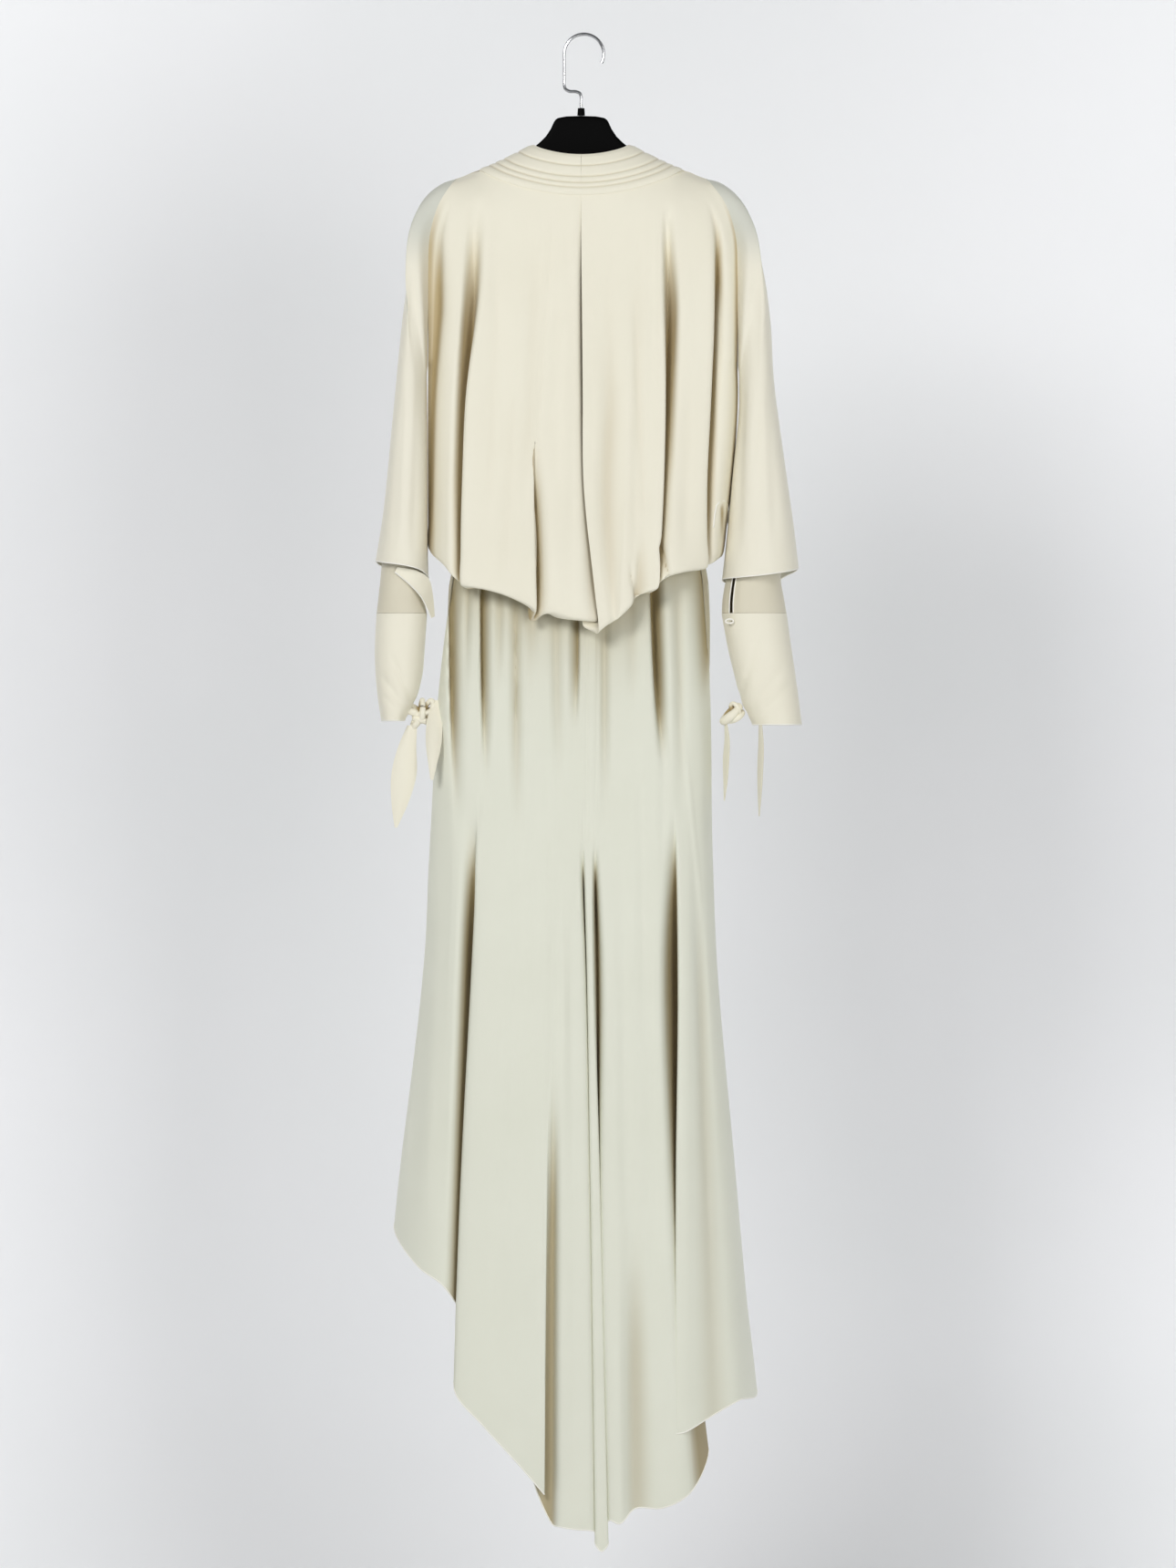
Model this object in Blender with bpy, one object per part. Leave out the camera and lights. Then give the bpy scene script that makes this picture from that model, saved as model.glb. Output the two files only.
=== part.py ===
"""A long dress with a bloused back, hung on a plastic hanger with a wire hook.

Built in metres with +Z up. The origin is the inside top of the hook, where a rail
carries it. The dress's back faces -Y and its front faces +Y. Lengths below are in
millimetres and become metres as each mesh is made.
"""

import bmesh
import bpy
import numpy as np

METRE = 0.001

# Driving sizes
CLOTH = 1.2            # thickness of a cloth wall
SEAM = 0.3             # gap between two pieces at a seam
SLEEVE_SEAM = 0.6      # gap where a sleeve is set in
LAP = 0.45             # gap between two pieces that lie on each other
MIDDLE_X = -4.0        # the dress's middle, seen from the back
NECK_HALF = 55.0       # half the distance between the neck points on the shoulders
NECK_POINT_Z = -133.5
SHOULDER_RUN = 100.0   # neck point to armhole, level
SHOULDER_FALL = 44.5   # and how far it falls on the way
SHOULDER_BOW = 3.0
BAND_HALF = 126.0      # the neck band meets the shoulder seam this far from the middle
UNDERARM_Z = -410.0
ARMHOLE_DEPTH = 28.0   # half the armhole's width, front to back
UNDERARM_APART = 2.4   # how far the sleeve's inside hangs from the blouse's side
WAIST_Z = -555.0
ROLL = 5.0             # height of the turn at the blouse's rolled lower edge
ROLL_IN = 17.0         # how far the rolled edge comes back inside
SHOULDER_ROUND = 90.0  # height over which the cloth rounds from the shoulder seam to full depth
ARM_REACH = {-1: 190.0, 1: 194.0}    # the underarm's distance from the middle, by side
BACK_BAND = (-198.0, 30.0)     # the neck band's lower edge: height in the middle, rise to its end
FRONT_BAND = (-252.0, 84.0)
BACK_NECK = (-149.0, 13.0)     # and the neck edge, the same way
FRONT_NECK = (-206.0, 70.0)
BAND_SEAM = 0.5        # gap between the neck band and the blouse
MITRE_MOST = 3.0       # the most that a fold's tip is thickened, in cloth walls

# Where the blouse's inside meets the skirt: distance outwards from the waist seam and height
# above it, of three rows from the turned cloth to the seam
WAIST_ROWS = ((6.5, -9.0), (5.5, SEAM + CLOTH / 2), (-2.5, SEAM + CLOTH / 2))

# The blouse's depth on each side of the middle plane, by height
BLOUSE_HEIGHTS = (-180.0, -410.0, -555.0, -693.0, -745.0)
BLOUSE_BACK = (34.0, 38.0, 52.0, 76.0, 80.0)
BLOUSE_FRONT = (30.0, 34.0, 48.0, 68.0, 70.0)
BLOUSE_LEVELS = (-224.0, -331.0, -444.0, -557.0, -693.0)

# One row for each fold line of the blouse's back, from the left side to the middle:
# name, x at the top, x at the five levels, how far the line is tucked in, the height
# where the tuck starts, the height of the lower edge
BACK_LEFT_FOLDS = (
    ("side seam",     -159, (-180, -192, -192, -191, -190),  0, -200, -640),
    ("arm valley",    -155, (-173, -181, -187, -189, -189), 14, -200, -646),
    ("strip start",   -151, (-168, -172, -181, -184, -186),  3, -200, -651),
    ("strip crest",   -146, (-159, -160, -169, -173, -175),  0, -200, -661),
    ("strip end",     -137, (-142, -148, -156, -161, -164),  3, -200, -672),
    ("long valley",   -127, (-134, -140, -149, -155, -158), 14, -200, -680),
    ("main start",    -117, (-126, -131, -141, -148, -151),  2, -200, -683),
    ("main left",      -97, (-105, -108, -114, -120, -125),  0, -200, -690),
    ("main middle",    -75, (-73, -76, -80, -86, -90),      -1, -200, -701),
    ("tuck start",     -53, (-54, -56, -60, -66, -66),      -1, -560, -715),
    ("tuck valley",    -46, (-45, -47, -51, -57, -55),      13, -520, -721),
    ("tuck end",       -39, (-36, -39, -41, -47, -46),      -1, -560, -719),
    ("main right",     -21, (-21, -24, -26, -26, -18),      -2, -300, -725),
    ("slit left",       -4, (-4, -4, -3, -2, 8),             2, -300, -730),
)
BACK_RIGHT_FOLDS = (
    ("slit right",      -4, (-4, -3, -2, -1, 10),           -3, -300, -742),
    ("flap",            16, (16, 16, 16, 12, 24),           -2, -300, -738),
    ("soft valley",     33, (32, 33, 35, 27, 26),            5, -350, -734),
    ("flap crest",      50, (54, 55, 55, 53, 46),           -3, -350, -725),
    ("flap right",      63, (67, 67, 67, 67, 59),            0, -350, -712),
    ("pleat valley",    78, (80, 82, 82, 81, 72),            3, -600, -695),
    ("pleat lip",       92, (94, 96, 98, 99, 90),           -1, -350, -689),
    ("pleat deep",     101, (102, 105, 107, 105, 97),       10, -200, -685),
    ("side lip",       110, (110, 114, 116, 114, 104),       1, -200, -676),
    ("side middle",    128, (134, 136, 136, 133, 126),      -1, -200, -664),
    ("side edge",      139, (158, 161, 157, 150, 146),       2, -200, -650),
    ("arm valley",     143, (165, 171, 166, 157, 151),      15, -200, -625),
    ("arm strip",      147, (172, 180, 177, 168, 158),       4, -200, -590),
    ("side seam",      151, (176, 189, 187, 177, 163),       0, -200, -600),
)
FRONT_FOLDS = (
    ("side seam",      151, (176, 189, 187, 177, 163),       0, -200, -600),
    ("right corner",   142, (166, 178, 176, 167, 156),       0, -200, -620),
    ("right side",     123, (146, 158, 156, 148, 140),       0, -200, -636),
    ("right valley",   112, (120, 126, 124, 117, 112),       8, -260, -650),
    ("right crest",     80, (82, 84, 83, 80, 76),            0, -260, -656),
    ("right dip",       45, (45, 46, 44, 42, 40),            4, -260, -660),
    ("middle",          -4, (-4, -4, -4, -5, -5),            0, -260, -664),
    ("left dip",       -50, (-52, -52, -53, -54, -56),       4, -260, -662),
    ("left crest",     -88, (-90, -91, -93, -95, -98),       0, -260, -660),
    ("left valley",   -120, (-128, -132, -134, -135, -137),  8, -260, -656),
    ("left side",     -131, (-150, -160, -162, -162, -160),  0, -200, -650),
    ("left corner",   -150, (-170, -181, -183, -182, -180),  0, -200, -645),
    ("side seam",     -159, (-180, -192, -192, -191, -190),  0, -200, -640),
)

# The skirt's depth on each side of the middle plane, at its levels
SKIRT_LEVELS = (-555.0, -817.0, -1009.0, -1156.0, -1427.0, -1868.0)
SKIRT_BACK = (35.0, 44.0, 54.0, 64.0, 84.0, 112.0)
SKIRT_FRONT = (33.0, 40.0, 46.0, 54.0, 70.0, 92.0)

# One row for each fold line of the skirt, round from the left side over the back:
# name, x at the six levels, how far it is tucked in, the height where the tuck starts,
# the height of the hem
SKIRT_FOLDS = (
    ("side left",          (-146, -181, -192, -202, -231, -272),  0,  -900, -1476),
    ("side left crest",    (-130, -163, -166, -174, -198, -231),  0,  -900, -1527),
    ("left fold lip",      (-114, -146, -148, -157, -170, -186), 10,  -960, -1552),
    ("left fold deep",     (-103, -134, -137, -136, -142, -150), 44,  -960, -1610),
    ("main left edge",      (-92, -122, -130, -138, -152, -166),  2,  -960, -1678),
    ("main crest",          (-75, -103, -108, -109, -116, -128), -2,  -900, -1723),
    ("main flat",           (-52,  -66,  -71,  -72,  -78,  -84), -1,  -900, -1768),
    ("pocket left lip",     (-36,  -45,  -46,  -46,  -47,  -50), -1, -1250, -1806),
    ("pocket far",          (-31,  -37,  -39,  -40,  -48,  -84), 34, -1300, -1792),
    ("pocket deep",         (-26,  -31,  -33,  -34,  -38,  -42), 52, -1300, -1843),
    ("pocket right lip",    (-20,  -25,  -27,  -28,  -29,  -30), -1, -1250, -1846),
    ("ridge left",          (-12,  -16,  -16,  -17,  -14,  -12), -4, -1000, -1849),
    ("centre left lip",      (-5,   -9,   -9,   -6,   -1,    5), -1,  -960, -1851),
    ("centre left deep",      (0,   -3,   -3,   -1,    4,   10), 13,  -960, -1857),
    ("strip left",            (4,    2,    2,    4,    9,   15),  1,  -960, -1868),
    ("strip crest",           (8,    7,    6,    9,   14,   21), -3,  -960, -1876),
    ("strip right",          (12,   12,   11,   14,   20,   28),  1,  -960, -1868),
    ("centre right deep",    (16,   17,   16,   19,   24,   33), 13,  -960, -1850),
    ("centre right lip",     (21,   23,   22,   25,   29,   38), -1,  -960, -1838),
    ("ridge right",          (29,   35,   36,   37,   38,   44), -4, -1000, -1842),
    ("soft valley",          (46,   58,   60,   61,   61,   63), 12, -1430, -1824),
    ("mid crest",            (64,   78,   80,   80,   84,   98), -1, -1000, -1823),
    ("right fold lip",       (78,   91,   95,   97,  105,  112), 14,  -960, -1806),
    ("right fold deep",      (86,  101,  108,  115,  124,  152), 44,  -960, -1750),
    ("right edge",           (93,  110,  115,  117,  114,  111),  0,  -960, -1733),
    ("right crest",         (103,  121,  125,  127,  125,  124), -2,  -960, -1730),
    ("right valley",        (118,  133,  138,  145,  151,  164),  9, -1000, -1710),
    ("right crest two",     (128,  145,  149,  156,  172,  203), -1, -1000, -1693),
    ("side right",          (137,  156,  159,  166,  190,  232),  0,  -900, -1685),
    ("front right",         (118,  135,  138,  144,  160,  190),  0,  -900, -1585),
    ("front right dip",      (80,   88,   88,   90,   98,  115), 14,  -900, -1518),
    ("front right crest",    (40,   42,   42,   43,   46,   54), -2,  -900, -1472),
    ("front dip",            (-4,   -5,   -6,   -6,   -8,  -10), 12,  -900, -1450),
    ("front left crest",    (-46,  -52,  -56,  -58,  -64,  -74), -2,  -900, -1438),
    ("front left dip",      (-86,  -98, -104, -110, -122, -140), 14,  -900, -1438),
    ("front left",         (-122, -148, -158, -166, -186, -214),  0,  -900, -1452),
)

# Soft troughs in the skirt's back below the blouse, one row each:
# x and z of the upper end, x and z of the lower end, half width, depth
SKIRT_TROUGHS = (
    (-160, -640, -158, -890,  9,  8),
    (-122, -640, -120, -860,  8, 11),
    (-86,  -650,  -86, -880,  9,  4),
    (-12,  -690,  -12, -830,  8,  6),
    (88,   -640,   97, -860,  8, 16),
    (146,  -640,  148, -780,  9,  9),
)

# Sleeves: the upper and outer line, from the shoulder to the hem, as x and z rows
SLEEVE_OUTER_LEFT = ((-159, -177.5), (-181, -186), (-196, -198), (-206, -219), (-219, -297),
                     (-234, -433), (-247, -568), (-254, -625), (-259, -652))
SLEEVE_OUTER_RIGHT = ((151, -177.5), (181, -189), (193, -203), (202, -229), (223, -297),
                      (236, -433), (254, -568), (262, -625), (266, -661))
SLEEVE_INNER_LEFT = ((-196.6, -410), (-198, -470), (-198.5, -560), (-197.5, -640), (-195, -700))
SLEEVE_INNER_RIGHT = ((192.6, -410), (191.5, -460), (184.5, -540), (176, -636), (171.5, -676))
# Height of the sleeve's hem by eighths of a turn: outside, back, inside, front
SLEEVE_HEM_LEFT = (-652, -655, -658, -664, -674, -680, -670, -660)
SLEEVE_HEM_RIGHT = (-661, -666, -671, -674, -676, -682, -686, -670)
SLEEVE_DEPTH = (28.0, 40.0, 46.0, 50.0)     # half its width front to back, shoulder to hem
SLEEVE_SETTLE = 0.45   # share of its length over which it settles to its own outline

# Under-sleeves and cuffs: z, x of the outside, x of the inside, half width front to back
UNDER_LEFT = ((-636, -250, -203, 36), (-672, -253, -200, 33), (-700, -256, -199.5, 32))
UNDER_RIGHT = ((-640, 252, 184, 40), (-672, 244, 177, 37), (-700, 248, 172, 36))
CUFF_LEFT = ((-718, -258, -196, 31), (-762, -260, -199, 31), (-795, -259, -202, 31),
             (-825, -256, -210, 30), (-851, -252, -223, 29))
CUFF_RIGHT = ((-718, 251, 171, 36), (-762, 257, 179, 35), (-795, 262, 187, 34),
              (-825, 266, 195, 32), (-856, 270, 209, 30))
SLOT_HALF = 2.4        # half the width of the open slot in the right under-sleeve
SLOT_COLUMN = 6        # and the sleeve column that it lies on

# Knots: centre x and z, radii along x, y and z. Tails: x, y, z and width down the tail
KNOT_LEFT = (-203.0, -842.0, 15.0, 13.0, 19.0)
KNOT_RIGHT = (181.0, -842.0, 16.0, 13.0, 15.0)
TAIL_LEFT_LONG = ((-208, -4, -860, 8), (-218, -7, -885, 18), (-224, -10, -918, 31),
                  (-229, -14, -953, 21), (-234, -16, -984, 3))
TAIL_LEFT_SHORT = ((-192, -9, -860, 9), (-189, -22, -868, 18), (-188, -30, -885, 19),
                   (-188, -38, -907, 11), (-189, -43, -925, 3))
TAIL_RIGHT_NEAR = ((176, 0, -858, 12), (178, 0, -876, 24), (177, 0, -900, 30),
                   (176, 0, -926, 20), (174, 0, -951, 3))
TAIL_RIGHT_FAR = ((219, -23, -856.8, 14), (220, -23, -880, 24), (219, -23, -915, 26),
                  (218, -23, -945, 16), (217, -23, -970, 3))

# Hanger and hook
HANGER_MIDDLE = -4.0
HANGER_THICK = 9.0
ARM_END = 182.0
STUB_TOP = -90.0
STUB_RADIUS = 4.2
ARM_HEIGHT = 24.0
ARM_BELOW = 2.1        # the arms' upper edge below the middle of the shoulder seams' cloth
WIRE = 4.2
HOOK_RADIUS = 24.5


def material(name, colour, roughness, metallic=0.0):
    """A plain Principled material."""
    made = bpy.data.materials.new(name)
    made.use_nodes = True
    shader = made.node_tree.nodes["Principled BSDF"]
    shader.inputs["Base Color"].default_value = (*colour, 1.0)
    shader.inputs["Roughness"].default_value = roughness
    shader.inputs["Metallic"].default_value = metallic
    return made


def smooth(at, stops, values):
    """Values read at heights between stops along a cubic whose slope at a stop is that of
    the chord between its neighbours. Beyond the end stops the end slope goes on."""
    stops = np.asarray(stops, float)
    values = np.asarray(values, float)
    if stops[0] > stops[-1]:
        stops, values = stops[::-1], values[::-1]
    at = np.asarray(at, float)
    slope = np.gradient(values, stops, axis=-1)
    k = np.clip(np.searchsorted(stops, at) - 1, 0, len(stops) - 2)
    step = stops[k + 1] - stops[k]
    t = (at - stops[k]) / step
    inside = np.clip(t, 0.0, 1.0)
    a, b = values[k], values[k + 1]
    bend = (a * (2 * inside**3 - 3 * inside**2 + 1) + b * (3 * inside**2 - 2 * inside**3)
            + slope[k] * step * (inside**3 - 2 * inside**2 + inside)
            + slope[k + 1] * step * (inside**3 - inside**2))
    beyond = np.where(t < 0, t * slope[k], np.where(t > 1, (t - 1) * slope[k + 1], 0.0)) * step
    return bend + beyond


def ease(t):
    """Rises from 0 to 1 with level ends."""
    t = np.clip(t, 0.0, 1.0)
    return t * t * (3 - 2 * t)


def through(lines, counts, ring):
    """A surface's columns: a centripetal Catmull-Rom curve through the fold lines' points,
    row by row. lines is (rows, lines, 3); counts gives the steps from each line to the next."""
    rows, n = lines.shape[:2]
    spans = n if ring else n - 1
    if ring:
        p = np.concatenate([lines[:, -1:], lines, lines[:, :2]], axis=1)
    else:
        first = 2 * lines[:, :1] - lines[:, 1:2]
        last = 2 * lines[:, -1:] - lines[:, -2:-1]
        p = np.concatenate([first, lines, last], axis=1)
    columns = []
    for k in range(spans):
        p0, p1, p2, p3 = (p[:, k + j] for j in range(4))
        t1 = np.sqrt(np.linalg.norm(p1 - p0, axis=1) + 1e-6)[:, None]
        t2 = t1 + np.sqrt(np.linalg.norm(p2 - p1, axis=1) + 1e-6)[:, None]
        t3 = t2 + np.sqrt(np.linalg.norm(p3 - p2, axis=1) + 1e-6)[:, None]
        for step in range(counts[k]):
            t = t1 + (t2 - t1) * step / counts[k]
            a1 = p0 + (p1 - p0) * t / t1
            a2 = p1 + (p2 - p1) * (t - t1) / (t2 - t1)
            a3 = p2 + (p3 - p2) * (t - t2) / (t3 - t2)
            b1 = a1 + (a2 - a1) * t / t2
            b2 = a2 + (a3 - a2) * (t - t1) / (t3 - t1)
            columns.append(b1 + (b2 - b1) * (t - t1) / (t2 - t1))
    if not ring:
        columns.append(lines[:, -1])
    return np.stack(columns, axis=1)


def unit(vectors):
    """The same directions, one long."""
    return vectors / np.maximum(np.linalg.norm(vectors, axis=-1, keepdims=True), 1e-9)


def normals(grid, ring):
    """Outward directions to thicken a grid along. Its rows go down and its columns go round
    leftwards over the back, seen from above against the clock. At a sharp fold they are
    longer by the mitre there, so that the wall keeps its thickness beside the fold."""
    if ring:
        ahead = np.roll(grid, -1, axis=1) - grid
        behind = np.roll(ahead, 1, axis=1)
    else:
        step = np.diff(grid, axis=1)
        ahead = np.concatenate([step, step[:, -1:]], axis=1)
        behind = np.concatenate([step[:, :1], step], axis=1)
    fall = unit(np.diff(grid, axis=0))
    down = np.concatenate([fall[:1], fall]) + np.concatenate([fall, fall[-1:]])
    both = unit(np.cross(down, ahead)) + unit(np.cross(down, behind))
    mitre = np.linalg.norm(both, axis=2, keepdims=True) / 2
    return unit(both) / np.maximum(mitre, 1 / MITRE_MOST)


def add_object(name, points, faces, finish):
    """One named mesh object, from points in millimetres."""
    mesh = bpy.data.meshes.new(name)
    mesh.from_pydata((np.asarray(points) * METRE).tolist(), [], faces)
    mesh.materials.append(finish)
    mesh.shade_smooth()
    mesh.set_sharp_from_angle(angle=0.9)
    made = bpy.data.objects.new(name, mesh)
    bpy.context.scene.collection.objects.link(made)
    return made


def wall(name, grid, out, finish, ring=False, thick=CLOTH):
    """A closed cloth wall: the grid moved half a thickness out and in along its normals,
    joined round its edges."""
    rows, cols = grid.shape[:2]
    points = np.concatenate([(grid + out * thick / 2).reshape(-1, 3),
                             (grid - out * thick / 2).reshape(-1, 3)])
    inner = rows * cols
    faces = []
    last = cols if ring else cols - 1
    for r in range(rows - 1):
        for c in range(last):
            d = (c + 1) % cols
            a, b, e, f = r * cols + c, (r + 1) * cols + c, (r + 1) * cols + d, r * cols + d
            faces += [(a, b, e), (a, e, f)]
            faces += [(inner + a, inner + e, inner + b), (inner + a, inner + f, inner + e)]
    for c in range(last):
        d = (c + 1) % cols
        low, low_next = (rows - 1) * cols + c, (rows - 1) * cols + d
        faces += [(c, d, inner + d), (c, inner + d, inner + c)]
        faces += [(low, inner + low, inner + low_next), (low, inner + low_next, low_next)]
    if not ring:
        for r in range(rows - 1):
            a, b = r * cols, (r + 1) * cols
            e, f = a + cols - 1, b + cols - 1
            faces += [(a, inner + a, inner + b), (a, inner + b, b)]
            faces += [(e, f, inner + f), (e, inner + f, inner + e)]
    return add_object(name, points, faces, finish)


def share_normals(one, one_col, other, other_col):
    """Gives two walls the same normals along the seam where they meet, so that their end
    faces lie flat to each other. one and other are pairs of grid and normals."""
    gap = np.linalg.norm(one[0][:, one_col] - other[0][:, other_col], axis=1)
    both = unit(one[1][:, one_col] + other[1][:, other_col])
    meet = gap < 2 * CLOTH
    one[1][meet, one_col] = both[meet]
    other[1][meet, other_col] = both[meet]


def drawn_back(part):
    """A panel's grid with both its end columns drawn back half a seam."""
    part = part.copy()
    for edge, beside in ((0, 1), (-1, -2)):
        part[:, edge] += unit(part[:, beside] - part[:, edge]) * SEAM / 2
    return part


def steps(lines, row, span, most=3):
    """How many columns each stretch between fold lines gets, by its length at one row."""
    length = np.linalg.norm(np.diff(lines[row], axis=0), axis=1)
    return [int(v) for v in np.clip(np.round(length / span), 1, most)]


def shoulder_z(x):
    """Height of the shoulder seam, which goes on straight inside the neck points."""
    u = (np.abs(x - MIDDLE_X) - NECK_HALF) / SHOULDER_RUN
    return NECK_POINT_Z - SHOULDER_FALL * u - SHOULDER_BOW * np.sin(np.pi * np.clip(u, 0, 1))


def band_z(x, drop, rise):
    """Height of the neck band's lower edge, a curve that rises to the shoulder seam."""
    return drop + rise * (np.abs(x - MIDDLE_X) / BAND_HALF) ** 2


def neck_z(x, drop, rise):
    """Height of the neck edge."""
    return drop + rise * ((x - MIDDLE_X) / (NECK_HALF + 8)) ** 2


def depth(x, z, heights, values):
    """How far the blouse stands from the middle plane: a quarter ellipse over the shoulder
    that opens into the depth for that height."""
    fall = np.clip((shoulder_z(x) - z) / SHOULDER_ROUND, 0.0, 1.0)
    return smooth(z, heights, values) * np.sqrt(1 - (1 - fall) ** 2)


def armhole(turn, side):
    """A point of the armhole by its turn from the shoulder point, 0, to the underarm, pi,
    as x, how far it lies from the middle plane, and z."""
    top_z = shoulder_z(MIDDLE_X + SHOULDER_RUN + NECK_HALF)
    z = (top_z + UNDERARM_Z) / 2 + (top_z - UNDERARM_Z) / 2 * np.cos(turn)
    away = ARM_REACH[side]
    reach = away - (away - SHOULDER_RUN - NECK_HALF) * np.clip(np.cos(turn), 0, 1) ** 3
    return MIDDLE_X + side * reach, ARMHOLE_DEPTH * np.abs(np.sin(turn)) ** 0.8, z


ARM_ROWS = 9
ARM_TURNS = np.linspace(0.0, np.pi, ARM_ROWS)
SLEEVE_TURNS = np.concatenate([ARM_TURNS, 2 * np.pi - ARM_TURNS[-2:0:-1]])
BODY_ROWS = 7
SKIRT_ROWS = 21


def waist(share, front):
    """A point of the waist seam, by its share of the way from the left side to the right."""
    left, right = SKIRT_FOLDS[0][1][0], SKIRT_FOLDS[28][1][0]
    xi = 2 * share - 1
    half = SKIRT_FRONT[0] if front else -SKIRT_BACK[0]
    return (left + right) / 2 + (right - left) / 2 * xi, half * np.sqrt(np.clip(1 - xi**4, 0, 1))


def waist_edge(share, front, away, rise):
    """A point beside the waist seam: away from it outwards and rise above it."""
    x, y = waist(share, front)
    ends = [waist(np.clip(share + step, 0.0, 1.0), front) for step in (-0.01, 0.01)]
    along = np.array([ends[1][0] - ends[0][0], ends[1][1] - ends[0][1]])
    along /= np.linalg.norm(along)
    if share in (0.0, 1.0):
        along = np.array([0.0, 1.0 if (share == 1.0) != front else -1.0])
    sign = -1.0 if front else 1.0
    return np.array([x + sign * along[1] * away, y - sign * along[0] * away, WAIST_Z + rise])


def blouse(folds, front, band):
    """Rows of points on the blouse's fold lines: over the shoulder, down to the lower edge,
    round the roll there and back up inside to the waist seam."""
    side = 1.0 if front else -1.0
    heights = BLOUSE_FRONT if front else BLOUSE_BACK
    down = (1 - np.cos(ARM_TURNS)) / 2
    lines = []
    for name, top_x, xs, tuck, starts, hem in folds:
        edge = name == "side seam"
        hand = 1 if top_x > 0 else -1
        within = abs(top_x - MIDDLE_X) < BAND_HALF
        top = float(band_z(top_x, *band)) if within else float(shoulder_z(top_x))
        z = np.concatenate([top + (UNDERARM_Z - top) * down,
                            UNDERARM_Z + (hem + ROLL - UNDERARM_Z) * np.linspace(0, 1, BODY_ROWS + 1)[1:]])
        if edge:
            z[:ARM_ROWS] = armhole(ARM_TURNS, hand)[2]
        x = smooth(z, (top,) + BLOUSE_LEVELS, (top_x,) + xs)
        opening = armhole(ARM_TURNS, hand)
        turn = np.arccos(np.clip((z - UNDERARM_Z) / (opening[2][0] - UNDERARM_Z) * 2 - 1, -1, 1))
        side_y = np.where(z > UNDERARM_Z, ARMHOLE_DEPTH * np.sin(turn) ** 0.8, 0.0)
        if edge:
            x[:ARM_ROWS] = opening[0]
            settle = ease((UNDERARM_Z - z[ARM_ROWS:]) / 60.0)
            x[ARM_ROWS:] = opening[0][-1] + (x[ARM_ROWS:] - opening[0][-1]) * settle
        left = smooth(z, (-177.0,) + BLOUSE_LEVELS, (-159,) + BACK_LEFT_FOLDS[0][2])
        right = smooth(z, (-177.0,) + BLOUSE_LEVELS, (151,) + BACK_RIGHT_FOLDS[-1][2])
        xi = np.clip((x - (left + right) / 2) / ((right - left) / 2), -1, 1)
        full = depth(x, z, BLOUSE_HEIGHTS, heights)
        y = side_y + np.maximum(full - side_y, 0) * np.sqrt(1 - xi**6)
        if edge:
            y = side_y
        fold = ease((starts - z) / 90.0) * (1 - 0.55 * ease((hem + 70 - z) / 60.0))
        y = y - tuck * fold
        y = np.where(np.arange(len(z)) == 0, np.maximum(y, SEAM / 2), y)
        points = np.stack([x, side * y, z], axis=1)

        share = (xs[2] - BACK_LEFT_FOLDS[0][2][2]) / (BACK_RIGHT_FOLDS[-1][2][2] - BACK_LEFT_FOLDS[0][2][2])
        across = 2 * share - 1
        low_z = z[-1]
        low_half = float(smooth(low_z, BLOUSE_HEIGHTS, heights)) - ROLL_IN
        low_middle, low_wide = (left[-1] + right[-1]) / 2, (right[-1] - left[-1]) / 2 - ROLL_IN
        turned = np.array([low_middle + low_wide * across, side * low_half * np.sqrt(1 - across**4), low_z])
        base = points[-1]
        roll = [base * 0.78 + turned * 0.22 - (0, 0, ROLL * 0.9),
                base * 0.3 + turned * 0.7 - (0, 0, ROLL * 0.9)]
        near, beside, over = (waist_edge(share, front, off, rise) for off, rise in WAIST_ROWS)
        middle = turned * 0.45 + near * 0.55
        lines.append(np.vstack([points, roll, turned, middle, near, beside, over]))
    return np.stack(lines, axis=1)


def skirt():
    """Rows of points on the skirt's fold lines, from the waist seam down to the hem."""
    share = np.linspace(0.0, 1.0, SKIRT_ROWS)
    lines = []
    for k, (name, xs, tuck, starts, hem) in enumerate(SKIRT_FOLDS):
        front = k > 28
        z = WAIST_Z + (hem - WAIST_Z) * share
        x = smooth(z, SKIRT_LEVELS, xs)
        left = smooth(z, SKIRT_LEVELS, SKIRT_FOLDS[0][1])
        right = smooth(z, SKIRT_LEVELS, SKIRT_FOLDS[28][1])
        xi = np.clip((x - (left + right) / 2) / ((right - left) / 2), -1, 1)
        half = smooth(z, SKIRT_LEVELS, SKIRT_FRONT if front else SKIRT_BACK)
        y = half * np.sqrt(1 - xi**4) - tuck * ease((starts - z) / 260.0)
        y = y if front else -y
        lines.append(np.stack([x, y, z], axis=1))
    return np.stack(lines, axis=1)


def troughs(grid):
    """Presses the soft troughs into the skirt's back, deepest along the middle of each line."""
    x, y, z = (grid[..., k] for k in range(3))
    shift = np.zeros_like(y)
    for x1, z1, x2, z2, half, deep in SKIRT_TROUGHS:
        along = (z1 - z) / (z1 - z2)
        middle = x1 + (x2 - x1) * along
        fade = ease(along * 4) * ease((1.15 - along) * 2)
        shift += deep * fade * np.exp(-((x - middle) / half) ** 2)
    grid[..., 1] = np.where(y < -5, y + shift, y)
    return grid


def top_row(row, front, band):
    """A panel's top row, set on the neck band's lower edge and, past the band's end, on its
    own side of the shoulder seam."""
    x, y, z = row.T
    within = np.abs(x - MIDDLE_X) < BAND_HALF
    z = np.where(within, band_z(x, *band), z)
    y = np.where(within, depth(x, z, BLOUSE_HEIGHTS, BLOUSE_FRONT if front else BLOUSE_BACK), np.abs(y))
    y = np.maximum(y, SEAM / 2)
    return np.stack([x, y if front else -y, z], axis=1)


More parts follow.
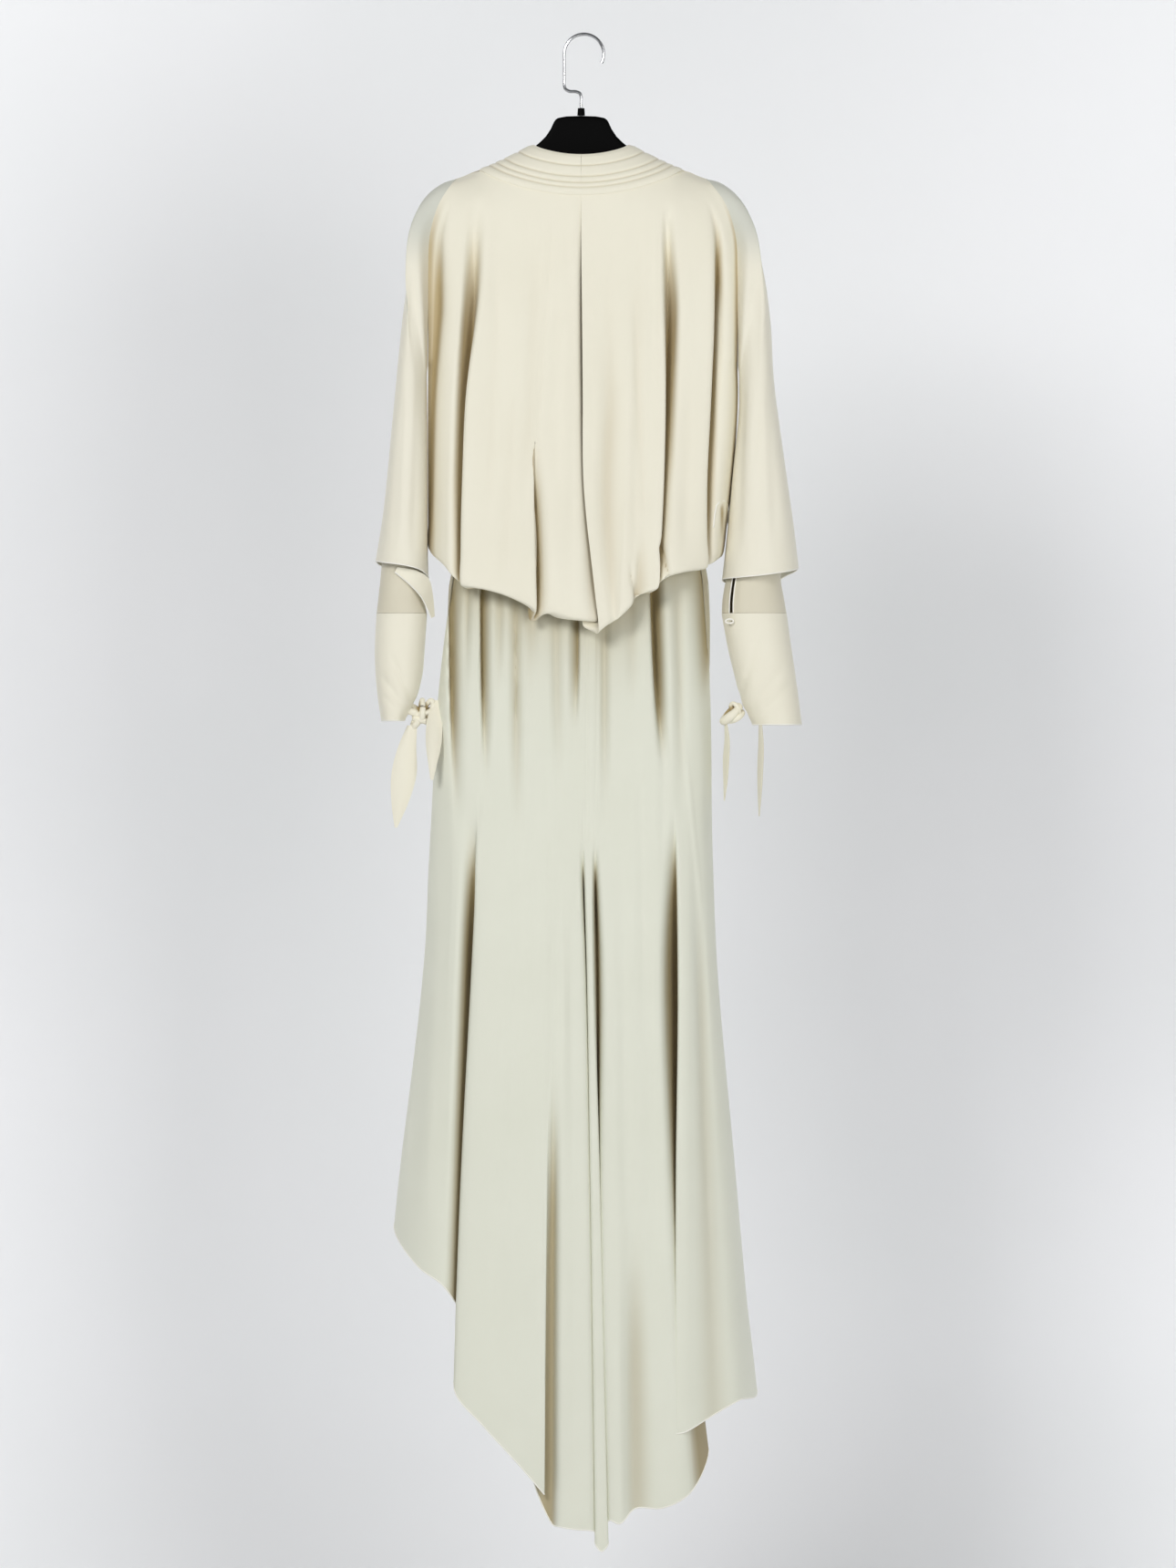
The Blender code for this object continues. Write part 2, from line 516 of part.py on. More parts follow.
def build_blouse(silk):
    """The back in two halves, open down the middle, and the front. Returns the side edges'
    points, directions and normals, which the sleeves start from, and the top edges of the
    back and the front from left to right, which the neck band lies along."""
    panels = {}
    for name, folds, front, band in (("back_left", BACK_LEFT_FOLDS, False, BACK_BAND),
                                     ("back_right", BACK_RIGHT_FOLDS, False, BACK_BAND),
                                     ("front_bodice", FRONT_FOLDS, True, FRONT_BAND)):
        lines = blouse(folds, front, band)
        grid = through(lines, steps(lines, ARM_ROWS, 22.0), ring=False)
        grid[0] = top_row(grid[0], front, band)
        panels[name] = [grid, normals(grid, False)]
    left, right, front = (panels[name] for name in ("back_left", "back_right", "front_bodice"))
    share_normals(left, -1, right, 0)
    share_normals(right, -1, front, 0)
    share_normals(front, -1, left, 0)
    for name, (grid, out) in panels.items():
        on_shoulder = np.abs(grid[0, :, 0] - MIDDLE_X) > BAND_HALF - 1
        out[0, on_shoulder, 1] = 0.0
        out[0] /= np.linalg.norm(out[0], axis=1, keepdims=True)
        wall(name, drawn_back(grid), out, silk)
    edges = {}
    for hand, back_col, front_col in ((-1, 0, -1), (1, -1, 0)):
        pieces = []
        for (grid, out), col in (((left if hand < 0 else right), back_col), (front, front_col)):
            beside = 1 if col == 0 else -2
            along = grid[:ARM_ROWS, col] - grid[:ARM_ROWS, beside]
            along /= np.linalg.norm(along, axis=1, keepdims=True)
            pieces.append((grid[:ARM_ROWS, col], along, out[:ARM_ROWS, col]))
        edges[hand] = [np.concatenate([pieces[0][k], pieces[1][k][-2:0:-1]]) for k in range(3)]
    tops = {False: np.concatenate([left[0][0], right[0][0]]), True: front[0][0][::-1]}
    return edges, tops


def build_skirt(silk):
    """Five panels of one tube, parted at the side, princess and centre back seams."""
    lines = skirt()
    counts = steps(np.concatenate([lines, lines[:, :1]], axis=1), SKIRT_ROWS // 2, 24.0)
    grid = troughs(through(lines, counts, ring=True))
    starts = np.concatenate([[0], np.cumsum(counts)])
    out = normals(grid, True)
    grid, out = (np.concatenate([a, a[:, :1]], axis=1) for a in (grid, out))
    for name, first, last in (("skirt_side_left", 0, 3), ("skirt_back_left", 3, 13),
                              ("skirt_back_right", 13, 23), ("skirt_side_right", 23, 28),
                              ("skirt_front", 28, 36)):
        panel = slice(starts[first], starts[last] + 1)
        wall(name, drawn_back(grid[:, panel]), out[:, panel], silk)


def band_grid(hand, front, top):
    """A piece of the neck band between the neck edge and the blouse's top edge, from a
    shoulder seam to the middle. It lies on the same rounded form as the blouse."""
    share = np.linspace(0.0, 1.0, 9)[None, :]
    down = np.linspace(0.0, 1.0, 4)[:, None]
    low_x = MIDDLE_X + hand * (BAND_HALF - 0.5) * (1 - share)
    top_x = MIDDLE_X + hand * (NECK_HALF + 5) * (1 - share)
    x = top_x + (low_x - top_x) * down
    neck, values = (FRONT_NECK, BLOUSE_FRONT) if front else (BACK_NECK, BLOUSE_BACK)
    low, high = np.interp(low_x, top[:, 0], top[:, 2]) + BAND_SEAM, neck_z(top_x, *neck)
    z = np.where(share > 0, high + (low - high) * down, shoulder_z(x))
    y = np.maximum(depth(x, z, BLOUSE_HEIGHTS, values), SEAM / 2)
    y = y if front else -y
    grid = np.stack([x, y, z], axis=2)
    return grid if (hand < 0) != front else grid[:, ::-1]


def build_neck(tops, silk):
    """The stitched neck band: two halves at the back, which meet at the centre seam, and
    two at the front."""
    pieces = {}
    for name, hand, front in (("neck_band_left", -1, False), ("neck_band_right", 1, False),
                              ("neck_front_right", 1, True), ("neck_front_left", -1, True)):
        grid = band_grid(hand, front, tops[front])
        pieces[name] = [grid, normals(grid, False)]
    order = list(pieces.values())
    for one, other in zip(order, order[1:] + order[:1]):
        share_normals(one, -1, other, 0)
    for name, (grid, out) in pieces.items():
        wall(name, drawn_back(grid), out, silk)


def sleeve_grid(side, outer, inner, hems, down):
    """The wide sleeve as a tube that starts at the armhole and turns level towards its hem.
    Its columns are the rows of the blouse's armhole edge, back and front. Each starts on
    the armhole and runs like the outer or the inner line, by how far out it lies."""
    turn = SLEEVE_TURNS
    outer, inner = np.array(outer, float), np.array(inner, float)
    run = np.concatenate([[0], np.cumsum(np.linalg.norm(np.diff(outer, axis=0), axis=1))])
    drop = np.concatenate([[0], np.cumsum(np.linalg.norm(np.diff(inner, axis=0), axis=1))])
    top_x, top_y, top_z = armhole(turn, side)
    lean = (1 + np.cos(turn)) / 2
    top_x = top_x + side * UNDERARM_APART * (1 - lean) ** 3
    hem_x = inner[-1, 0] + (outer[-1, 0] - inner[-1, 0]) * lean
    hem_z = smooth(turn / (2 * np.pi) * 8, np.arange(9), hems + hems[:1])
    end_x = top_x + lean * (outer[-1, 0] - outer[0, 0]) + (1 - lean) * (inner[-1, 0] - inner[0, 0])
    end_z = top_z + lean * (outer[-1, 1] - outer[0, 1]) + (1 - lean) * (inner[-1, 1] - inner[0, 1])
    grid = []
    for t in down:
        out_x, out_z = (smooth(t * run[-1], run, outer[:, k]) - outer[0, k] for k in (0, 1))
        in_x, in_z = (smooth(t * drop[-1], drop, inner[:, k]) - inner[0, k] for k in (0, 1))
        x = top_x + lean * out_x + (1 - lean) * in_x + (hem_x - end_x) * t ** 1.5
        z = top_z + lean * out_z + (1 - lean) * in_z + (hem_z - end_z) * t ** 1.5
        side_x = smooth(np.minimum(z, inner[0, 1]), inner[:, 1], inner[:, 0])
        outline = side_x + (smooth(z, outer[:, 1], outer[:, 0]) - side_x) * lean
        x = x + (outline - x) * ease(t / SLEEVE_SETTLE) * (t < 1)
        y = smooth(t, (0, 0.35, 0.7, 1.0), SLEEVE_DEPTH) * np.abs(np.sin(turn)) ** 0.8
        grid.append(np.stack([x, y * np.where(turn <= np.pi, -1, 1), z], axis=1))
    return np.array(grid)


def oval(row, turn, grow=0.0):
    """A level oval with slightly flattened sides, by its outer and inner x and half depth."""
    z, outer, inner, half = row
    middle, wide = (outer + inner) / 2, (outer - inner) / 2
    wide += np.sign(wide) * grow
    x = middle + wide * np.sign(np.cos(turn)) * np.abs(np.cos(turn)) ** 0.9
    y = -(half + grow) * np.sin(turn)
    return np.stack([x, y, np.full_like(turn, z)], axis=-1)


def build_sleeve(side, edge, silk, sheer):
    """The wide sleeve, the sheer under-sleeve stitched inside it, and the deep cuff."""
    left = side < 0
    label = "left" if left else "right"
    outer = SLEEVE_OUTER_LEFT if left else SLEEVE_OUTER_RIGHT
    inner = SLEEVE_INNER_LEFT if left else SLEEVE_INNER_RIGHT
    hems = SLEEVE_HEM_LEFT if left else SLEEVE_HEM_RIGHT
    turn = SLEEVE_TURNS
    down = np.array([0.0, 0.04, 0.1, 0.18, 0.28, 0.4, 0.53, 0.66, 0.78, 0.89, 1.0])
    grid = sleeve_grid(side, outer, inner, hems, down)
    out = normals(grid, True) * (1 if left else -1)
    from_under = np.minimum(np.abs(turn - np.pi) / np.pi, 1.0)
    blend = ease((from_under - 0.2) / 0.25)[:, None]
    points, along, edge_out = edge
    apart = SLEEVE_SEAM + (1 - blend) * (CLOTH - 0.1)
    away = along * blend + np.array([side, 0.0, -0.2]) * (1 - blend)
    grid[0] = points + away / np.linalg.norm(away, axis=1, keepdims=True) * apart
    out[0] = edge_out * blend + out[0] * (1 - blend)
    out[0] /= np.linalg.norm(out[0], axis=1, keepdims=True)
    flip = slice(None) if left else slice(None, None, -1)
    wall("sleeve_" + label, grid[:, flip], out[:, flip], silk, ring=True)

    cuff = np.array([oval(row, turn) for row in (CUFF_LEFT if left else CUFF_RIGHT)])
    stitched = grid[7] - out[7] * (CLOTH + LAP)
    foot = cuff[0] + (0, 0, SEAM)
    under = np.array([stitched] + [oval(row, turn) for row in (UNDER_LEFT if left else UNDER_RIGHT)] + [foot])
    if left:
        wall("under_sleeve_left", under, normals(under, True), sheer, ring=True)
    else:
        under = np.roll(under, -SLOT_COLUMN, axis=1)
        under = np.concatenate([under, under[:, :1]], axis=1)[:, ::-1]
        for end, beside in ((0, 1), (-1, -2)):
            away = under[:, beside] - under[:, end]
            under[:, end] += away / np.linalg.norm(away, axis=1, keepdims=True) * SLOT_HALF
        wall("under_sleeve_right", under, normals(under, False), sheer)
    cuff_out = normals(cuff, True) * (1 if left else -1)
    wall("cuff_" + label, cuff[:, flip], cuff_out[:, flip], silk, ring=True)
    return cuff


def seat(shape, cuff, away):
    """How far a knot moves along x from its place so that it just clears its cuff: the
    least shift that leaves every point of the cuff outside the knot's swollen oval."""
    x, z, wide, thick, tall = shape
    swell = CLOTH / 2 - 0.1
    dense = through(np.concatenate([cuff, cuff[:, :1]], axis=1), [6] * cuff.shape[1], ring=False)
    dense = np.swapaxes(through(np.swapaxes(dense, 0, 1), [8] * (len(cuff) - 1), ring=False), 0, 1)
    flat = 1 - (dense[..., 1] / (thick + swell)) ** 2 - ((dense[..., 2] - z) / (tall + swell)) ** 2
    near = dense[flat > 0]
    reach = (wide + swell) * np.sqrt(flat[flat > 0])
    edge = near[:, 0] + away * reach
    return float(edge.max() - x) if away > 0 else float(edge.min() - x)


def knot_points(shape, rows=9, cols=14):
    """A knot's rounded body with one soft groove where the tie wraps over itself."""
    x, z, wide, thick, tall = shape
    up = np.linspace(0.0, np.pi, rows)[:, None]
    turn = np.linspace(0.0, 2 * np.pi, cols, endpoint=False)[None, :]
    groove = 1 - 0.12 * np.exp(-((np.cos(up) - 0.5 * np.sin(turn)) / 0.25) ** 2)
    px = x + wide * np.sin(up) * np.cos(turn) * groove
    py = thick * np.sin(up) * np.sin(turn) * groove
    pz = z + tall * np.cos(up) + 0 * turn
    return np.stack([px, py, pz], axis=2)


def build_knot(name, shape, cuff, away, silk):
    """A tied knot just clear of its cuff."""
    grid = knot_points(shape)
    shift = seat(shape, cuff, away)
    grid[..., 0] += shift
    rows, cols = grid.shape[:2]
    points = [grid[0, 0]] + [p for row in grid[1:-1] for p in row] + [grid[-1, 0]]
    faces = []
    for c in range(cols):
        d = (c + 1) % cols
        faces.append((0, 1 + d, 1 + c)[::-1])
        low = 1 + (rows - 3) * cols
        faces.append((len(points) - 1, low + c, low + d)[::-1])
        for r in range(rows - 3):
            a, b = 1 + r * cols, 1 + (r + 1) * cols
            faces.append((a + c, b + c, b + d))
            faces.append((a + c, b + d, a + d))
    add_object(name, points, faces, silk)
    return shift


def under_knot(shape, shift, row):
    """The height of a level row of points that just hangs clear below a knot's oval."""
    x, z, wide, thick, tall = shape
    flat = 1 - ((row[:, 0] - x - shift) / wide) ** 2 - (row[:, 1] / thick) ** 2
    return z - tall * np.sqrt(np.max(flat)) - LAP


def build_tail(name, rows, silk, lean=0.0, bow=4.0, knot=None):
    """A tie's tapered end, bowed across its width and turned about the vertical by lean. It
    hangs from its knot, given as the knot's shape and shift, if it has one."""
    across = np.linspace(-0.5, 0.5, 5)
    turn = np.radians(lean)
    heights = [r[2] for r in rows]
    z = np.linspace(heights[0], heights[-1], 9)
    x, y, width = (smooth(z, heights, [r[k] for r in rows]) for k in (0, 1, 3))
    offset = width[:, None] * across[None, :]
    deep = -bow * (1 - 4 * across[None, :] ** 2) * (width[:, None] / width.max())
    grid = np.stack([x[:, None] + offset * np.cos(turn) + deep * np.sin(turn),
                     y[:, None] + deep * np.cos(turn) - offset * np.sin(turn),
                     np.repeat(z[:, None], 5, axis=1)], axis=2)
    if knot:
        lift = under_knot(*knot, grid[0]) - z[0]
        grid[..., 2] += lift * (np.linspace(1.0, 0.0, 9) ** 2)[:, None]
    wall(name, grid, normals(grid, False), silk)


def build_ties(left_cuff, right_cuff, silk):
    """Each cuff's tie: a knot and two loose ends."""
    left = KNOT_LEFT, build_knot("knot_left", KNOT_LEFT, left_cuff, 1, silk)
    right = KNOT_RIGHT, build_knot("knot_right", KNOT_RIGHT, right_cuff, -1, silk)
    build_tail("tie_left_long", TAIL_LEFT_LONG, silk, knot=left)
    build_tail("tie_left_short", TAIL_LEFT_SHORT, silk, knot=left)
    build_tail("tie_right_near", TAIL_RIGHT_NEAR, silk, lean=72.0, knot=right)
    build_tail("tie_right_far", TAIL_RIGHT_FAR, silk, lean=70.0)


def build_hanger(plastic):
    """A moulded hanger: a flat-topped middle and two arms whose upper edge runs under the
    shoulder seams. Its section is a flat oval, joined from ring to ring along x."""
    reach = np.array([0, 18, 34, 43, 51, 55, 66, 85, 110, 140, 165, ARM_END])
    reach = np.concatenate([-reach[:0:-1], reach])
    x = HANGER_MIDDLE + reach
    under = shoulder_z(x) - ARM_BELOW
    dip = 5.0 * ease((np.abs(reach) - 90.0) / 70.0)
    head = np.interp(np.abs(reach), (0, 18, 34, 43, 51, 55), (-99.5, -100, -104, -121, -131, -139))
    top = np.where(np.abs(reach) < 56, head, under - dip)
    low = np.minimum(-168.0 - 8 * (np.abs(reach) / 60) ** 2, top - ARM_HEIGHT)
    low = np.where(np.abs(reach) < 60, low, top - ARM_HEIGHT)
    low[0] = top[0] - 10
    low[-1] = top[-1] - 10
    turn = np.linspace(0, 2 * np.pi, 12, endpoint=False) + np.pi / 12
    middle, half = (top + low) / 2, (top - low) / 2
    thick = np.full_like(half, HANGER_THICK / 2)
    thick[[0, -1]] = HANGER_THICK / 4
    upright = np.sin(turn) / np.sin(turn).max()
    points = np.stack([np.repeat(x[:, None], 12, 1), thick[:, None] * np.cos(turn)[None, :],
                       middle[:, None] + half[:, None] * upright[None, :]], axis=2)
    rows, cols = points.shape[:2]
    faces = []
    for r in range(rows - 1):
        for c in range(cols):
            d = (c + 1) % cols
            a, b = r * cols, (r + 1) * cols
            faces += [(a + c, a + d, b + d), (a + c, b + d, b + c)]
    faces.append(tuple(range(cols))[::-1])
    faces.append(tuple((rows - 1) * cols + c for c in range(cols)))
    add_object("hanger_body", points.reshape(-1, 3), faces, plastic)


def build_stub(plastic):
    """The short round stub on the hanger's middle that the hook's stem goes into."""
    top_z, low_z = STUB_TOP, -99.5 + SEAM
    mesh_data = bpy.data.meshes.new("hanger_stub")
    shape = bmesh.new()
    bmesh.ops.create_cone(shape, cap_ends=True, segments=20, radius1=(STUB_RADIUS + 0.6) * METRE,
                          radius2=STUB_RADIUS * METRE, depth=(top_z - low_z) * METRE)
    bmesh.ops.translate(shape, verts=shape.verts, vec=(MIDDLE_X * METRE, 0.0, (top_z + low_z) / 2 * METRE))
    shape.to_mesh(mesh_data)
    shape.free()
    mesh_data.materials.append(plastic)
    made = bpy.data.objects.new("hanger_stub", mesh_data)
    bpy.context.scene.collection.objects.link(made)


def build_hook(chrome):
    """The bent wire: an open round hook, a short straight leg, a jog and a stem."""
    rise = WIRE / 2 - HOOK_RADIUS
    turn = np.radians(np.linspace(-28, 180, 16))
    arc = [(HOOK_RADIUS * np.cos(a) - 0.5, rise + HOOK_RADIUS * np.sin(a)) for a in turn]
    leg_x = -HOOK_RADIUS - 0.5
    route = arc + [(leg_x, -40), (leg_x, -58), (leg_x + 1.6, -65.5), (leg_x + 6, -68.5),
                   (-10, -69.5), (-5.6, -71.5), (-4, -76), (-4, -82), (-4, STUB_TOP + SEAM)]
    curve = bpy.data.curves.new("hook", "CURVE")
    curve.dimensions = "3D"
    curve.bevel_depth = WIRE / 2 * METRE
    curve.bevel_resolution = 3
    curve.use_fill_caps = True
    line = curve.splines.new("POLY")
    line.points.add(len(route) - 1)
    for point, (x, z) in zip(line.points, route):
        point.co = (x * METRE, 0.0, z * METRE, 1.0)
    curve.materials.append(chrome)
    made = bpy.data.objects.new("hook", curve)
    bpy.context.scene.collection.objects.link(made)


for old in list(bpy.data.objects):
    bpy.data.objects.remove(old, do_unlink=True)

ivory = material("ivory silk crepe", (0.84, 0.80, 0.70), 0.55)
chiffon = material("sheer ivory silk", (0.66, 0.62, 0.54), 0.7)
black = material("black moulded plastic", (0.012, 0.012, 0.014), 0.45)
wire = material("polished steel wire", (0.75, 0.75, 0.76), 0.18, 1.0)

side_edges, top_edges = build_blouse(ivory)
build_neck(top_edges, ivory)
build_skirt(ivory)
cuff_left = build_sleeve(-1, side_edges[-1], ivory, chiffon)
cuff_right = build_sleeve(1, side_edges[1], ivory, chiffon)
build_ties(cuff_left, cuff_right, ivory)
build_hanger(black)
build_stub(black)
build_hook(wire)
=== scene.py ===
"""The looks of a long ivory dress that hangs on a moulded hanger, seen from its back.

The frame's origin is the inside top of the hook, +Z is up and the dress's back faces -Y.
Shapes are worked out in millimetres, as the sewn pieces are measured, and become metres
as each mesh is made. The script runs from top to bottom, one section for each piece.
"""

import bpy
import numpy as np
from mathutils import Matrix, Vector


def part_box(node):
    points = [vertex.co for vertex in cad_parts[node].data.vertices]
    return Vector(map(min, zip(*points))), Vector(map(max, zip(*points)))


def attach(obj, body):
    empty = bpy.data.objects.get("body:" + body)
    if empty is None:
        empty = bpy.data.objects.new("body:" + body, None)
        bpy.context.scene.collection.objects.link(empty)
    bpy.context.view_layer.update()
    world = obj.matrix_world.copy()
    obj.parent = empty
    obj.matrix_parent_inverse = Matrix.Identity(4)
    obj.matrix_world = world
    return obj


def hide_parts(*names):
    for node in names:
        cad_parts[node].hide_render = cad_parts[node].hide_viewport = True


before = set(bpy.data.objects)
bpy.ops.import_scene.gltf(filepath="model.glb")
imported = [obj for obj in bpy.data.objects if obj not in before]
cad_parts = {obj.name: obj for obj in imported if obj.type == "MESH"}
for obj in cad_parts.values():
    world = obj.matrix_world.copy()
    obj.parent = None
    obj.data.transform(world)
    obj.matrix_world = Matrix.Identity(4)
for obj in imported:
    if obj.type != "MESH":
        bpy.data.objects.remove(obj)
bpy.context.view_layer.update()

MM = 0.001


# The studio: a pale grey canvas sweep behind and below the dress, and soft light from
# large panels on both sides. The picture was taken level, from far off, straight at the back.
FRAME_HIGH = 1.9436        # metres of the dress's plane that the picture's height takes in
CAMERA_AWAY = 14.0
CAMERA_MIDDLE = (0.0045, -0.930)
FLOOR_Z = -2.15
WALL_Y = 1.1
COVE = 0.5                 # radius of the sweep's bend
SWEEP_HALF = 3.5


def linear(hex_colour, alpha=1.0):
    """An sRGB hex colour as linear light: below 0.04045 over 12.92, and above it
    ((c + 0.055) / 1.055) to the power 2.4."""
    srgb = np.array([int(hex_colour[k:k + 2], 16) for k in (1, 3, 5)]) / 255
    light = np.where(srgb <= 0.04045, srgb / 12.92, ((srgb + 0.055) / 1.055) ** 2.4)
    return (*light.tolist(), alpha)


def node(tree, kind, links=(), **settings):
    """Adds one node. A setting named in the node's sockets is its value, any other is an
    attribute, and each link is (from node, its output, this node's input)."""
    made = tree.nodes.new(kind)
    for key, value in settings.items():
        socket = key.replace("_", " ").title()
        if socket in made.inputs:
            made.inputs[socket].default_value = value
        else:
            setattr(made, key, value)
    for source, output, target in links:
        tree.links.new(source.outputs[output], made.inputs[target])
    return made


def finish(name, uniform):
    """A new material with its uniform values on the shader's own sockets."""
    made = bpy.data.materials.new(name)
    made.use_nodes = True
    shader = made.node_tree.nodes["Principled BSDF"]
    for socket, value in uniform.items():
        shader.inputs[socket].default_value = value
    return made, made.node_tree, shader


def canvas(name, colour, paler):
    """Primed canvas: matt, with a soft uneven tone between two close greys."""
    made, tree, shader = finish(name, {"Roughness": 0.9, "Specular IOR Level": 0.15})
    at = node(tree, "ShaderNodeTexCoord")
    tone = node(tree, "ShaderNodeTexNoise", [(at, "Object", "Vector")], scale=2.0, detail=2.0)
    pick = node(tree, "ShaderNodeMix", [(tone, "Fac", 0)], data_type="RGBA")
    pick.inputs[6].default_value = linear(colour)
    pick.inputs[7].default_value = linear(paler)
    tree.links.new(pick.outputs[2], shader.inputs["Base Color"])
    return made


cove = [(WALL_Y - COVE * (1 - np.sin(a)), COVE * (1 - np.cos(a))) for a in np.linspace(0, np.pi / 2, 24)[1:]]
sweep = [(-6.0, 0.0), (WALL_Y - COVE, 0.0), *cove, (WALL_Y, 5.0)]
sheet_points = [(x, y, FLOOR_Z + z) for y, z in sweep for x in (-SWEEP_HALF, SWEEP_HALF)]
sheet = bpy.data.meshes.new("backdrop")
sheet.from_pydata(sheet_points, [], [(2 * k, 2 * k + 1, 2 * k + 3, 2 * k + 2) for k in range(len(sweep) - 1)])
sheet.shade_smooth()
sheet.materials.append(canvas("primed canvas", "#E6E8E9", "#EEEEF0"))
backdrop = bpy.data.objects.new("backdrop", sheet)
bpy.context.scene.collection.objects.link(backdrop)

lens = bpy.data.cameras.new("camera")
lens.sensor_fit = "VERTICAL"
lens.sensor_height = 36.0
lens.lens = lens.sensor_height * CAMERA_AWAY / FRAME_HIGH
camera = bpy.data.objects.new("camera", lens)
camera.location = (CAMERA_MIDDLE[0], -CAMERA_AWAY - 0.04, CAMERA_MIDDLE[1])
camera.rotation_euler = (np.pi / 2, 0.0, 0.0)
bpy.context.scene.collection.objects.link(camera)
bpy.context.scene.camera = camera

for label, place, aim, size, power in (
        ("key panel", (-1.9, -4.2, 1.1), (0.0, 0.0, -0.9), 1.4, 108.0),
        ("fill panel", (1.9, -4.2, -0.4), (0.0, 0.0, -1.0), 1.6, 74.0),
        ("wall panel left", (-1.5, 0.25, 0.3), (-0.4, 2.0, 0.0), 1.4, 7.5),
        ("wall panel right", (1.5, 0.25, 0.3), (0.4, 2.0, 0.0), 1.4, 7.5),
        ("floor panel left", (-1.5, 0.25, -1.9), (-0.3, 2.0, -1.9), 1.2, 6.0),
        ("floor panel right", (1.5, 0.25, -1.9), (0.3, 2.0, -1.9), 1.2, 6.0)):
    lamp = bpy.data.lights.new(label, "AREA")
    lamp.shape = "SQUARE"
    lamp.size = size
    lamp.energy = power
    placed = bpy.data.objects.new(label, lamp)
    placed.location = place
    placed.rotation_euler = (Vector(aim) - Vector(place)).to_track_quat("-Z", "Y").to_euler()
    placed.visible_camera = False
    bpy.context.scene.collection.objects.link(placed)
world = bpy.data.worlds.new("studio")
world.use_nodes = True
sky = world.node_tree.nodes["Background"].inputs
sky["Color"].default_value = linear("#F2F4F7")
sky["Strength"].default_value = 0.1
bpy.context.scene.world = world
bpy.context.scene.view_settings.view_transform = "Standard"


# The hanger: black moulded polystyrene with a flat-topped middle, a round stub, and arms
# that carry the shoulder seams. The hook is 4 mm wire, bent, and plated bright.
MIDDLE_X = -4.0            # the middle of the hanger and of the neck
HANGER_THICK = 9.0
HANGER_OUT = (0, 18, 29, 33, 38, 44, 51, 57, 62)       # how far out along the middle's top edge
HANGER_TOP = (-99.5, -100, -102, -105, -116, -125, -132, -137, -141)
HANGER_FOOT = -168.0
HANGER_WIDE = 60.0         # half the deep middle's width
ARM_START, ARM_END = 56.0, 182.0
ARM_HEIGHT, ARM_LEAST = 24.0, 12.0
ARM_LOW, ARM_DROOP = 1.2, 5.0   # how far below the shoulder seam, and how much further at the ends
RING = 36                  # points round the hanger's section
WIRE = 4.2
HOOK_RADIUS, HOOK_X = 24.5, -0.5
CLOTH = 1.2                # the cloth wall of the frame that these pieces lie on
SEAM = 0.3
NECK_HALF = 55.0
NECK_POINT_Z = -133.5
SHOULDER_RUN = 100.0
SHOULDER_FALL = 44.5
SHOULDER_BOW = 3.0


def smooth(at, stops, values):
    """Values read at heights between stops along a cubic whose slope at a stop is that of
    the chord between its neighbours. Beyond the end stops the end slope goes on."""
    stops = np.asarray(stops, float)
    values = np.asarray(values, float)
    if stops[0] > stops[-1]:
        stops, values = stops[::-1], values[::-1]
    at = np.asarray(at, float)
    slope = np.gradient(values, stops, axis=-1)
    k = np.clip(np.searchsorted(stops, at) - 1, 0, len(stops) - 2)
    step = stops[k + 1] - stops[k]
    t = (at - stops[k]) / step
    inside = np.clip(t, 0.0, 1.0)
    a, b = values[k], values[k + 1]
    bend = (a * (2 * inside**3 - 3 * inside**2 + 1) + b * (3 * inside**2 - 2 * inside**3)
            + slope[k] * step * (inside**3 - 2 * inside**2 + inside)
            + slope[k + 1] * step * (inside**3 - inside**2))
    beyond = np.where(t < 0, t * slope[k], np.where(t > 1, (t - 1) * slope[k + 1], 0.0)) * step
    return bend + beyond


def ease(t):
    """Rises from 0 to 1 with level ends."""
    t = np.clip(t, 0.0, 1.0)
    return t * t * (3 - 2 * t)


def unit(vectors):
    """The same directions, one long."""
    return vectors / np.maximum(np.linalg.norm(vectors, axis=-1, keepdims=True), 1e-9)


def run_of(path):
    """The distance gone along a path at each of its points."""
    return np.concatenate([[0], np.cumsum(np.linalg.norm(np.diff(path, axis=0), axis=1))])


def shoulder_z(x):
    """Height of the shoulder seam, which goes on straight inside the neck points."""
    u = (np.abs(x - MIDDLE_X) - NECK_HALF) / SHOULDER_RUN
    return NECK_POINT_Z - SHOULDER_FALL * u - SHOULDER_BOW * np.sin(np.pi * np.clip(u, 0, 1))


def mesh_piece(name, points, faces, material, uv=None, shade=None):
    """One piece from points in millimetres, smooth but for its edges, riding on the dress.
    A shade for each point is kept as its fold attribute: painted shade, mostly by how deep in a fold it lies."""
    mesh = bpy.data.meshes.new(name)
    mesh.from_pydata((np.asarray(points) * MM).tolist(), [], faces)
    if uv is not None:
        layer = mesh.uv_layers.new(name="cloth")
        layer.data.foreach_set("uv", (uv * MM).astype(np.float32).ravel())
    if shade is not None:
        kept = mesh.attributes.new("fold", "FLOAT", "POINT")
        kept.data.foreach_set("value", shade.astype(np.float32))
    mesh.materials.append(material)
    mesh.shade_smooth()
    mesh.set_sharp_from_angle(angle=1.0)
    made = bpy.data.objects.new(name, mesh)
    bpy.context.scene.collection.objects.link(made)
    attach(made, "root")
    return made


